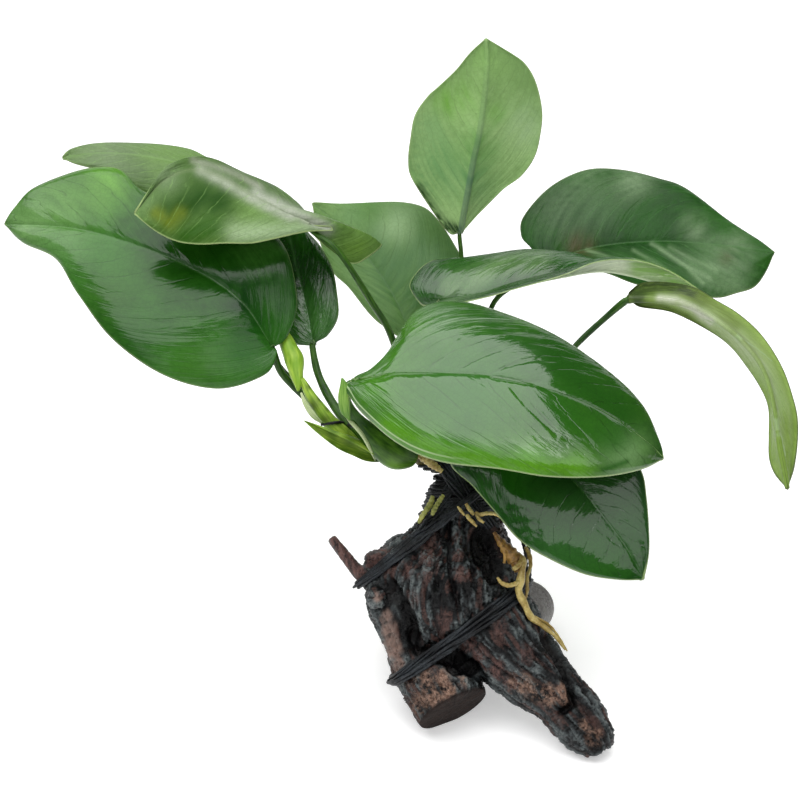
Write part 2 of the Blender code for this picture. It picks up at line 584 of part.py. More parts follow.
def threads(wood, rhizome, root_pieces):
    """Two bands and a neck wrap round the wood, and two loose strands."""
    front_wood = [wood[n] for n in wood if n not in ("driftwood_rear_stub", "driftwood_back_leg")]
    neck = wrap("thread_neck_wrap", (9, -29.2, 6), (31, -29.2, 6), 5.2, 1.0,
                search_tree(front_wood))
    core = search_tree(front_wood + root_pieces + [rhizome, neck])
    wrap("thread_upper_band", (-12, -54, 6), (30, -20.3, 6), 4.4, 1.2, core)
    wrap("thread_lower_band", (-5, -87, 6), (36, -57, 6), 4.8, 1.2, core)
    right = [(34, -37, 2, 0.8), (36.8, -42, 2.5, 0.8), (38.2, -46, 3, 0.8), (38.6, -49.6, 4, 0.8)]
    lying_stem("thread_right_strands", right, core, 9, THREAD_SIDES, THREAD_BLACK)
    over_crown = [(-22.6, -7.3, -8, 0.5), (-18, -7.3, -8.6, 0.5), (-14.6, -7.4, -9, 0.5)]
    lying_stem("thread_over_crown", over_crown, core, 7, THREAD_SIDES, THREAD_BLACK)


def build():
    clear_scene()
    leaves_and_stalks()
    rhizome = crown()
    wood = driftwood()
    root_pieces = roots(search_tree(list(wood.values())))
    threads(wood, rhizome, root_pieces)


build()
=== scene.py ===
"""The looks of an anubias plant tied with black thread to a forked piece of driftwood.

Places are given as an eye in front of the plant and a little above it sees them: millimetres right
of the middle of the view, up from it, and back behind it. seen() turns them into metres. Colours
are (red, green, blue) in thousandths of full brightness.
"""

import math
import random

import bmesh
import bpy
import numpy as np
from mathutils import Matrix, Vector, noise
from mathutils.bvhtree import BVHTree
from mathutils.kdtree import KDTree


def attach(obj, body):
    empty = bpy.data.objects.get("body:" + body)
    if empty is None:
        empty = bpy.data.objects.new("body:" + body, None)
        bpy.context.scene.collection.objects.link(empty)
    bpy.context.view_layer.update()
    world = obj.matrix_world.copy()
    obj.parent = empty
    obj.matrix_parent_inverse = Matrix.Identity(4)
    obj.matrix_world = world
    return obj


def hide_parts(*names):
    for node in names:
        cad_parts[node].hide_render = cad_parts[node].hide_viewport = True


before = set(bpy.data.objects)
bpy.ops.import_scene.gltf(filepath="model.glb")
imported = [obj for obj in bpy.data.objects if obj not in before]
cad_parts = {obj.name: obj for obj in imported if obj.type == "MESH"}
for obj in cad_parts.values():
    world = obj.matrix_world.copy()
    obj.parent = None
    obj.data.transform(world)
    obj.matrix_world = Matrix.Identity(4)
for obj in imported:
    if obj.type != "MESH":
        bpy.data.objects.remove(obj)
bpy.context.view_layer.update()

MM = 0.001
FULL = 1000                              # full brightness, in the unit of the colours
TURN = 2 * math.pi
TILT = math.radians(30)                  # how far down the eye looks
EYE = 700.0                              # eye to the middle of the view
HALF_VIEW = 120.0                        # half the width of the view at that distance
CENTRE = np.array((0.8, -12.3, 88.0))    # the middle of the view
CURVE_STEPS = 16                         # of a curve between two of its points


# ---- places ----
def seen(points):
    """World places in metres of (right, up, back) points in millimetres."""
    p = np.atleast_2d(np.array(points, float))
    spread = 1 + p[:, 2] / EYE
    rise = p[:, 1] * spread
    y = rise * math.sin(TILT) + p[:, 2] * math.cos(TILT)
    z = rise * math.cos(TILT) - p[:, 2] * math.sin(TILT)
    return (np.stack((p[:, 0] * spread, y, z), 1) + CENTRE) * MM


def seen_from(places):
    """The (right, up, back) millimetres of world places in metres."""
    d = np.atleast_2d(places) / MM - CENTRE
    back = d[:, 1] * math.cos(TILT) - d[:, 2] * math.sin(TILT)
    rise = d[:, 1] * math.sin(TILT) + d[:, 2] * math.cos(TILT)
    spread = 1 + back / EYE
    return np.stack((d[:, 0] / spread, rise / spread, back), 1)


def unit(v):
    return v / np.maximum(np.linalg.norm(v, axis=-1, keepdims=True), 1e-12)


def lengths(line):
    """How far along a polyline each of its points lies."""
    return np.concatenate(([0], np.cumsum(np.linalg.norm(np.diff(line, axis=0), axis=1))))


def curve(points):
    """A fine Catmull-Rom polyline through the points, of any dimension."""
    p = np.array(points, float)
    p = np.vstack((2 * p[0] - p[1], p, 2 * p[-1] - p[-2]))
    t = (np.arange(CURVE_STEPS) / CURVE_STEPS)[:, None]
    legs = []
    for a, b, c, d in zip(p, p[1:], p[2:], p[3:]):
        legs.append(0.5 * (2 * b + (c - a) * t + (2 * a - 5 * b + 4 * c - d) * t ** 2
                           + (3 * b - a - 3 * c + d) * t ** 3))
    return np.vstack(legs + [p[-2:-1]])


def along(line, fractions):
    """Places at fractions of a polyline's length; only x, y and z count towards the length."""
    run = lengths(line[:, :3])
    want = np.asarray(fractions) * run[-1]
    return np.stack([np.interp(want, run, line[:, k]) for k in range(line.shape[1])], 1)


def stations_path(stations, count):
    """count places and radii, in metres, along (right, up, back, radius) stations."""
    s = np.array(stations, float)
    line = curve(np.hstack((seen(s[:, :3]), s[:, 3:] * MM)))
    line = along(line, np.linspace(0, 1, count))
    return line[:, :3], line[:, 3]


def frames_along(path):
    """Directions of travel and two directions square to them, without twist."""
    travel = unit(np.gradient(path, axis=0))
    side = np.cross(travel[0], (0, 1, 0.001))
    sides = []
    for t in travel:
        side = unit(side - t * side.dot(t))
        sides.append(side)
    sides = np.array(sides)
    return travel, sides, np.cross(travel, sides)


def directions(angles, one, other):
    """Directions at angles in the plane of two others, from the one towards the other."""
    return np.outer(np.cos(angles), one) + np.outer(np.sin(angles), other)


def wave(p, scale, seed=0.0, octaves=2):
    """Smooth noise at each row of p, about -1 to 1."""
    q = np.asarray(p, float) * scale + seed
    return np.array([noise.fractal(Vector(v), 1.0, 2.0, octaves) for v in q])


def smooth(x, low, high):
    """0 below low, 1 above high, smooth between."""
    t = np.clip((x - low) / (high - low), 0, 1)
    return t * t * (3 - 2 * t)


def line_distance(points, line):
    """Distance in the plane from each (right, up) point to a polyline."""
    best = np.full(len(points), 1e9)
    for a, b in zip(line, line[1:]):
        a, b = np.array(a, float), np.array(b, float)
        t = np.clip(((points - a) @ (b - a)) / ((b - a) @ (b - a)), 0, 1)
        best = np.minimum(best, np.linalg.norm(points - a - t[:, None] * (b - a), axis=1))
    return best


def furrows(flat, lines):
    """How deep furrows of (width, depth, line) are at each (right, up) point."""
    found = np.zeros(len(flat))
    for wide, deep, line in lines:
        found = np.maximum(found, deep * np.exp(-(line_distance(flat, line) / wide) ** 2))
    return found


def arrays(mesh):
    """A mesh's vertex places and normals."""
    found = []
    for key in ("co", "normal"):
        values = np.empty(len(mesh.vertices) * 3, np.float32)
        mesh.vertices.foreach_get(key, values)
        found.append(values.reshape(-1, 3).astype(float))
    return found


def search_tree(*pieces, keep=None):
    """A search tree of the pieces' faces, or of those whose corners' (right, up, back) keep() picks."""
    verts = []
    faces = []
    for piece in pieces:
        start = len(verts)
        places = arrays(piece.data)[0]
        kept = keep(seen_from(places)) if keep else np.ones(len(places), bool)
        verts += [Vector(p) for p in places]
        corners = [f.vertices for f in piece.data.polygons]
        faces += [[start + i for i in face] for face in corners if all(kept[i] for i in face)]
    return BVHTree.FromPolygons(verts, faces)


def path_tree(points):
    tree = KDTree(len(points))
    for i, p in enumerate(points):
        tree.insert(p, i)
    tree.balance()
    return tree


def pinned(marks, tree, lift):
    """Places lift millimetres above what the tree shows the eye at each (right, up) mark.

    A mark beside it gets a place in the middle plane.
    """
    places = []
    for right, up in marks:
        near, far = seen([(right, up, -90), (right, up, 90)])
        hit, normal, _, _ = tree.ray_cast(Vector(near), Vector(unit(far - near)))
        places.append(np.array(hit + normal * lift * MM) if hit else seen((right, up, 0))[0])
    return np.array(places)


# ---- making pieces ----
def put_in(name, data):
    made = bpy.data.objects.new(name, data)
    bpy.context.scene.collection.objects.link(made)
    return made


def new_mesh(name, verts, faces):
    mesh = bpy.data.meshes.new(name)
    mesh.from_pydata([tuple(v) for v in verts], [], [tuple(map(int, f)) for f in faces])
    return mesh


def place_piece(mesh, replaces):
    """Puts a mesh in the scene as a piece that rides on the body and stands for CAD nodes."""
    piece = put_in(mesh.name, mesh)
    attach(piece, "root")
    if replaces:
        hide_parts(*replaces)
    return piece


def show(name, shell, materials, replaces, face_material=None, floats=None, tint=None):
    """Makes a piece of a (verts, faces) shell, with its named layers of numbers and its tint."""
    mesh = new_mesh(name, *shell)
    for m in materials:
        mesh.materials.append(m)
    if face_material is not None:
        mesh.polygons.foreach_set("material_index", np.asarray(face_material, np.int32))
    for key, values in (floats or {}).items():
        mesh.attributes.new(key, "FLOAT", "POINT").data.foreach_set("value", np.asarray(values, np.float32))
    if tint is not None:
        layer = mesh.attributes.new("tint", "FLOAT_COLOR", "POINT")
        layer.data.foreach_set("color", np.asarray(tint, np.float32).ravel())
    mesh.validate()
    mesh.shade_smooth()
    return place_piece(mesh, replaces)


def painted(verts, patches, bands=(), streaks=1):
    """The tint of each vertex: dabs of colour laid one over another, and how far they cover it.

    Patches are (right, up, reach, colour, strength) and bands (line, reach, colour, strength).
    """
    there = seen_from(verts)[:, :2]
    dabs = [(np.linalg.norm(there - (right, up), axis=1), *rest) for right, up, *rest in patches]
    dabs += [(line_distance(there, line), *rest) for line, *rest in bands]
    tint = np.zeros((len(verts), 4))
    for gap, reach, colour, strength in dabs:
        amount = np.clip(strength * np.exp(-(gap / reach) ** 2) * streaks, 0, 1)[:, None]
        tint = tint * (1 - amount) + np.array((*colour, FULL)) / FULL * amount
    tint[:, :3] /= np.maximum(tint[:, 3:], 1e-4)
    return tint


def ring_faces(rings, sides, closed=False):
    """The faces between rings of verts, one after another."""
    k = np.arange(sides)
    after = (k + 1) % sides
    faces = []
    for i in range(rings if closed else rings - 1):
        a = i * sides
        b = (i + 1) % rings * sides
        faces += list(zip(a + k, a + after, b + after, b + k))
    return faces


def tube(path, radii, sides, shape, closed=False):
    """Rings of verts and faces round a path; shape(fraction, angles) scales each ring."""
    _, side, lift = frames_along(path)
    angles = np.linspace(0, TURN, sides, endpoint=False)
    last = len(path) - 1
    rings = []
    for i in range(len(path)):
        scale = shape(i / last, angles)[:, None]
        rings.append(path[i] + directions(angles, side[i], lift[i]) * scale * radii[i])
    faces = ring_faces(len(path), sides, closed)
    if not closed:
        faces += [range(sides - 1, -1, -1), range(last * sides, (last + 1) * sides)]
    return np.vstack(rings), faces


def gather(shells):
    """Several (verts, faces) shells as one."""
    verts = []
    faces = []
    start = 0
    for v, f in shells:
        verts.append(v)
        faces += [tuple(i + start for i in face) for face in f]
        start += len(v)
    return np.vstack(verts), faces


# ---- materials ----
class Nodes:
    """Short ways of writing a material's nodes."""

    def __init__(self, name):
        self.material = bpy.data.materials.new(name)
        self.material.use_nodes = True
        self.tree = self.material.node_tree
        self.shader = self.tree.nodes["Principled BSDF"]
        self.place = self.node("ShaderNodeTexCoord").outputs["Object"]

    def put(self, socket, value):
        """Links or sets a socket; a colour comes in thousandths."""
        if isinstance(value, bpy.types.NodeSocket):
            self.tree.links.new(value, socket)
        elif socket.type == "RGBA":
            socket.default_value = (*(v / FULL for v in value), 1)
        else:
            socket.default_value = value

    def node(self, kind, values=(), **settings):
        """A node with its first sockets filled from values, by order or by name."""
        made = self.tree.nodes.new(kind)
        for key, value in settings.items():
            setattr(made, key, value)
        keys = values if isinstance(values, dict) else range(len(values))
        for key in keys:
            self.put(made.inputs[key], values[key])
        return made

    def math(self, operation, *values):
        return self.node("ShaderNodeMath", values, operation=operation).outputs[0]

    def times(self, a, b):
        return self.math("MULTIPLY", a, b)

    def plus(self, total, *values):
        for value in values:
            total = self.math("ADD", total, value)
        return total

    def step(self, *values):
        """A smooth step of values: what, low, high, and to which two values if not 0 and 1."""
        return self.node("ShaderNodeMapRange", values, interpolation_type="SMOOTHSTEP").outputs[0]

    def mix(self, amount, a, b):
        return self.node("ShaderNodeMix", {0: amount, 6: a, 7: b}, data_type="RGBA").outputs[2]

    def attribute(self, name, output="Fac"):
        return self.node("ShaderNodeAttribute", attribute_name=name).outputs[output]

    def tinted(self, colour):
        return self.mix(self.attribute("tint", "Alpha"), colour, self.attribute("tint", "Color"))

    def vector(self, *values):
        return self.node("ShaderNodeCombineXYZ", values).outputs[0]

    def noise(self, vector, scale, detail=3.0, roughness=0.55, distortion=0.0):
        values = {"Vector": vector, "Scale": scale, "Detail": detail, "Roughness": roughness,
                  "Distortion": distortion}
        return self.node("ShaderNodeTexNoise", values).outputs["Fac"]

    def finish(self, colour, roughness, bumps, specular):
        """bumps are (height, strength, distance in metres), applied one on another."""
        s = self.shader.inputs
        for height, strength, distance in bumps:
            made = self.node("ShaderNodeBump", {"Strength": strength, "Distance": distance,
                                                "Height": height})
            if s["Normal"].is_linked:
                self.put(made.inputs["Normal"], s["Normal"].links[0].from_socket)
            self.put(s["Normal"], made.outputs[0])
        for key, value in (("Base Color", colour), ("Roughness", roughness),
                           ("Specular IOR Level", specular)):
            self.put(s[key], value)
        return self.material


# ---- leaves ----
# Each leaf: midrib from joint to tip, then the edges between them on its left and on its right, as
# seen on the upper face looking from the joint to the tip.
LEAVES = {
    "front": (
        [(-14.4, 5.7, -18), (0, 7, -22), (15, 7.2, -25), (30, 6, -26), (45, 2.3, -27), (62, -5, -26),
         (79.2, -17.7, -22)],
        [(-13, 7.5, -17), (-7.2, 10.2, -16), (-3, 15, -14), (1, 21.5, -10), (6, 27.6, -7), (16.2, 30, -5),
         (30, 27, -6), (47, 20, -9), (62.7, 9, -14), (73, -1.2, -18), (78, -12, -21)],
        [(-16.8, 3, -19), (-15, 0.5, -21), (-11, -4.5, -25), (0, -13.5, -32), (12.3, -18.5, -37),
         (30, -20.6, -40), (45, -22.9, -40), (61, -22.9, -37), (73, -20.7, -29)]),
    "left": (
        [(-38.4, 15.9, 0), (-48, 30, -1), (-63, 39.6, 2), (-81, 47, 7), (-99, 51.6, 12),
         (-118.8, 52.8, 18)],
        [(-37.2, 13.2, -1), (-40.5, 7.5, -3), (-54.3, 3.3, -6), (-71, 7.5, -7), (-86.4, 18.3, -3),
         (-97, 32, 4), (-103.8, 42.6, 9), (-114, 47.4, 15)],
        [(-33.6, 18.9, 0), (-30.6, 30, 1), (-35, 47.4, 5), (-48, 55, 8), (-63, 59, 11), (-76.5, 63, 14),
         (-84, 69.5, 16), (-94.8, 69.6, 19), (-110, 64.2, 19), (-116, 58, 18.5)]),
    "upper_left": (
        [(-27.6, 52.2, -4), (-37.8, 57.9, -5), (-46.2, 62.4, -5), (-54.6, 67.2, -4), (-63, 69, -4),
         (-72, 65, -6), (-79.8, 55.8, -10)],
        [(-20, 51.4, -3), (-27.9, 50.6, -7), (-38.4, 48.3, -11), (-45, 47.1, -12), (-52.5, 47.1, -13),
         (-60.3, 46.8, -13), (-67.2, 47.7, -13), (-73.5, 50.7, -12)],
        [(-22, 46, 0), (-14.5, 41, 2), (-9.6, 42.6, 3), (-4.8, 47.1, 5), (-10.8, 50.1, 6), (-19, 51.2, 6),
         (-24.5, 53.8, 8), (-29.4, 59.1, 9), (-35.7, 63.9, 10), (-46.2, 68.4, 9), (-54.6, 72.3, 6),
         (-61, 73.3, 1), (-67, 71.8, -3), (-71, 69, -5), (-76, 62, -8)]),
    "back_left": (
        [(-45, 60, 30), (-60, 69, 30), (-76, 73, 29), (-90, 74, 28), (-101.4, 72.6, 27)],
        [(-44, 56, 28), (-55, 53, 26), (-70, 58, 24), (-80, 64, 23), (-90, 69, 24), (-98, 71, 26)],
        [(-44, 64, 33), (-51, 69, 35), (-60, 73.8, 36), (-65, 75.6, 36), (-76, 77.1, 35),
         (-88.5, 77.1, 32), (-98, 75.3, 29)]),
    "low_left": (
        [(-26, 17, 9), (-28, 28, 12), (-31, 40, 15), (-34, 52, 17), (-38, 61, 18)],
        [(-28, 16.3, 9), (-33, 17.5, 10), (-39, 25, 13), (-42, 36, 17), (-42, 48, 19), (-40, 56, 19)],
        [(-21.9, 19.2, 8), (-18.6, 25, 8), (-19, 33, 10), (-20.4, 39.9, 12), (-24, 46.5, 14),
         (-28, 51, 16), (-33, 57, 17)]),
    "upright": (
        [(18, 50.4, 36), (20.1, 61.2, 31), (21.9, 71.1, 27), (23.7, 79.5, 23), (25.2, 90, 19),
         (26.1, 100.5, 15), (25.8, 108.6, 12)],
        [(19.5, 51.2, 36), (24.3, 56.7, 36), (30.3, 62.7, 34), (36.3, 67.2, 33), (40.5, 73.2, 31),
         (42.3, 80.7, 28), (42.6, 87.3, 25), (40.8, 95.4, 21), (37.8, 100.8, 18), (33.6, 104.1, 16)],
        [(14.4, 50.1, 35), (8.1, 58.8, 34), (3.3, 66.9, 33), (2.4, 72.3, 31), (3, 78.3, 29),
         (4.5, 85.8, 26), (8.4, 91.5, 23), (11.7, 94.5, 21), (16.8, 99.3, 18), (21, 104.4, 15)]),
    "middle_back": (
        [(3, 21, 38), (-3, 33, 42), (-10, 43, 45), (-18, 52, 47), (-26.4, 59.1, 48)],
        [(0, 19, 37), (-5.1, 22.5, 37), (-9.6, 26.4, 39), (-15.6, 33.9, 42), (-20.7, 39, 44),
         (-24.6, 48.9, 46)],
        [(8, 19, 39), (15, 24, 42), (20, 33, 45), (18.6, 42, 47), (16.5, 46.5, 48), (12, 53.4, 49),
         (7.5, 57.9, 50), (0.6, 59.7, 51), (-8.7, 59.7, 51), (-17.7, 59.1, 50)]),
    "arching": (
        [(11.1, 29.8, 18), (22, 31, 18), (34.5, 34.4, 19), (49, 37.4, 20), (60, 39, 21), (70.2, 37.4, 22),
         (81.6, 33.8, 23), (95.1, 29.1, 24)],
        [(6, 29, 19), (2.4, 34.5, 21), (5.1, 39.6, 24), (9.3, 42.6, 27), (13.8, 43.2, 29),
         (19.5, 43.5, 30), (27.6, 44.4, 31), (37.2, 45.6, 32), (49, 45, 32), (57, 43.2, 31),
         (66, 39.5, 29), (80, 35.5, 27)],
        [(12.5, 28.9, 15), (18, 29.4, 8), (27.6, 31.6, 4), (34.5, 33.8, 4), (42.3, 36, 5), (50, 38.3, 6),
         (58, 41.6, 8), (66, 42.6, 11), (75, 41.4, 14), (84, 37.5, 18)]),
    "upper_right": (
        [(43.5, 41.4, 41), (60, 46, 44), (78, 47.5, 45), (95, 46.5, 44), (112.5, 44.4, 41)],
        [(39, 45.6, 43), (36.1, 49.5, 45), (36.9, 55.5, 48), (45, 64.2, 54), (55.8, 69.3, 57),
         (66.6, 69.3, 58), (77.7, 66.9, 57), (86, 63.9, 55), (99, 54.3, 50), (108, 48.3, 45)],
        [(44, 39, 38), (52, 38.5, 35), (61, 38.5, 33), (72, 34.8, 32), (84, 32.6, 33), (94.8, 30.9, 34),
         (101, 32.2, 36), (106.5, 34.1, 37), (110, 38.5, 39)]),
    "drooping": (
        [(68.7, 30.3, 7), (76, 30.2, 5), (87, 28.4, 3), (97, 22.5, 1), (104, 16.2, 0), (109, 9, -1),
         (112, -1, -2), (114, -14, -2), (116.4, -27, -2)],
        [(72, 28.2, 9), (82.5, 26.7, 12), (93.9, 20.7, 13), (99.9, 16.2, 13), (104.4, 10.5, 12),
         (108.6, 4.2, 11), (111, -2, 10), (111, -10.5, 8), (111.2, -17.4, 6), (113, -22.5, 2)],
        [(68.6, 32, 10), (73.8, 34.8, 17), (87, 33.6, 19), (94.8, 29.4, 19), (100.8, 25.8, 18),
         (106.8, 20.7, 17), (111.3, 15, 15), (114.9, 8.7, 13), (117.2, 2.4, 11), (118.8, -4.5, 9),
         (118.8, -11.4, 7), (117.9, -19.8, 3)]),
    "low_right": (
        [(40.5, -9.6, -9), (48, -20, -12), (56.5, -29.5, -15), (67, -43, -19), (73, -54, -22)],
        [(46, -6.5, -8), (58, -8, -8), (68, -13, -10), (72.9, -21.6, -12), (74.2, -29, -14),
         (74.8, -38, -17), (74.7, -46.2, -20)],
        [(34, -6.5, -9), (24, -9, -12), (15, -18.3, -15), (21.9, -26.1, -16), (28.2, -33.3, -18),
         (35.1, -41.4, -20), (43.2, -46.8, -22), (55.2, -52.2, -23), (66, -54, -23)]),
}

# Each stalk runs from just under its leaf's joint down to the rhizome. Stations along it are
# (right, up, back, radius).
STALKS = {
    "front": [(-15.6, 4.2, -18, 1.1), (-16.4, 0.6, -17, 1.5), (-14.6, -3.6, -15, 1.8),
        (-11, -8.2, -11, 2.8), (-6, -12.4, -7, 4.6), (-1, -15.6, -3.8, 5.2), (3, -17.2, -2, 3.4),
        (4, -17.6, -1, 1.6)],
    "left": [(-37.9, 14.4, 0.8, 1.1), (-35.9, 9, 3, 1.1), (-32.4, 4.6, 4.4, 1.1), (-28.2, 0.6, 5.2, 1.1),
        (-23, -5, 6, 1.1), (-16, -12, 5, 1.2), (-12.4, -13.8, 4, 1.2)],
    "upper_left": [(-25.6, 50, -3, 0.8), (-20.1, 46.2, -5, 0.9), (-15.6, 40.5, -4, 0.9), (-9, 30, 2, 1),
        (-3, 20, 8, 1), (1, 6, 9, 1.1), (2, -6, 7, 1.2), (1.5, -10.6, 5.6, 1.2)],
    "back_left": [(-44.2, 58.8, 30.5, 0.8), (-43, 48, 29, 0.8), (-43, 32, 24, 0.9), (-41.4, 18, 19, 0.9),
        (-36, 9.6, 16, 1), (-30.6, 4, 14, 1), (-25.6, -1.6, 12, 1), (-16, -10.4, 10, 1.1),
        (-10, -11.6, 8, 1.1)],
    "low_left": [(-26.2, 15.7, 9, 1), (-24.6, 8, 7, 1.15), (-20.8, 0, 3, 1.35), (-15.5, -7.4, -1, 1.5),
        (-11.6, -11.6, -0.6, 1.4)],
    "upright": [(17.9, 49, 36.8, 0.7), (18.5, 42, 40, 0.7), (18.5, 30, 39, 0.8), (16.5, 10, 29, 0.8),
        (13, -6, 16, 0.9), (11.5, -14.2, 10, 1)],
    "middle_back": [(3.6, 19.6, 37.6, 0.8), (6, 10, 32, 0.8), (6.5, -3, 20, 0.9), (6, -9, 13, 0.9),
        (6, -12, 9.8, 1)],
    "arching": [(11.6, 28.4, 18.8, 0.8), (12.5, 18, 17, 0.8), (11.5, 2, 11, 0.9), (9.5, -8, 6, 0.9),
        (9, -12.4, 4.4, 1)],
    "upper_right": [(42.5, 40.2, 40.6, 0.8), (36, 35.5, 37, 0.8), (28, 29, 33, 0.8), (24, 14, 24, 0.9),
        (20, -3, 13, 0.9), (18, -10, 8, 1), (17.5, -14.2, 6.6, 1)],
    "drooping": [(67.4, 29.6, 7.6, 1.1), (61.8, 24.9, 10, 1), (52.8, 16.5, 11, 0.9), (42, 4, 9, 0.9),
        (30, -8, 6, 0.9), (25.5, -14.4, 5.4, 0.9)],
    "low_right": [(39.9, -10.6, -7.4, 0.9), (41.4, -13, -3.6, 1), (41, -17, 0, 1.1),
        (39.4, -21, 3.2, 1.1)],
}

# A side of a leaf is (dark, light, roughness).
DEEP = ((3, 32, 1), (14, 80, 5), 0.15)
BRIGHT = ((10, 55, 2), (34, 120, 6), 0.09)
MIDDLE = ((8, 52, 3), (34, 132, 15), 0.17)
BACK_LIT = ((150, 275, 80), (260, 415, 155), 0.42)
YELLOW_BACK = ((150, 250, 38), (240, 360, 80), 0.42)
WHITE_BACK = ((240, 350, 160), (470, 550, 370), 0.4)
OLIVE_DARK = ((50, 110, 20), (110, 205, 50), 0.36)
BACK_PALE = ((115, 220, 60), (200, 330, 110), 0.42)
BACK_DEEP = ((20, 70, 12), (55, 140, 30), 0.42)
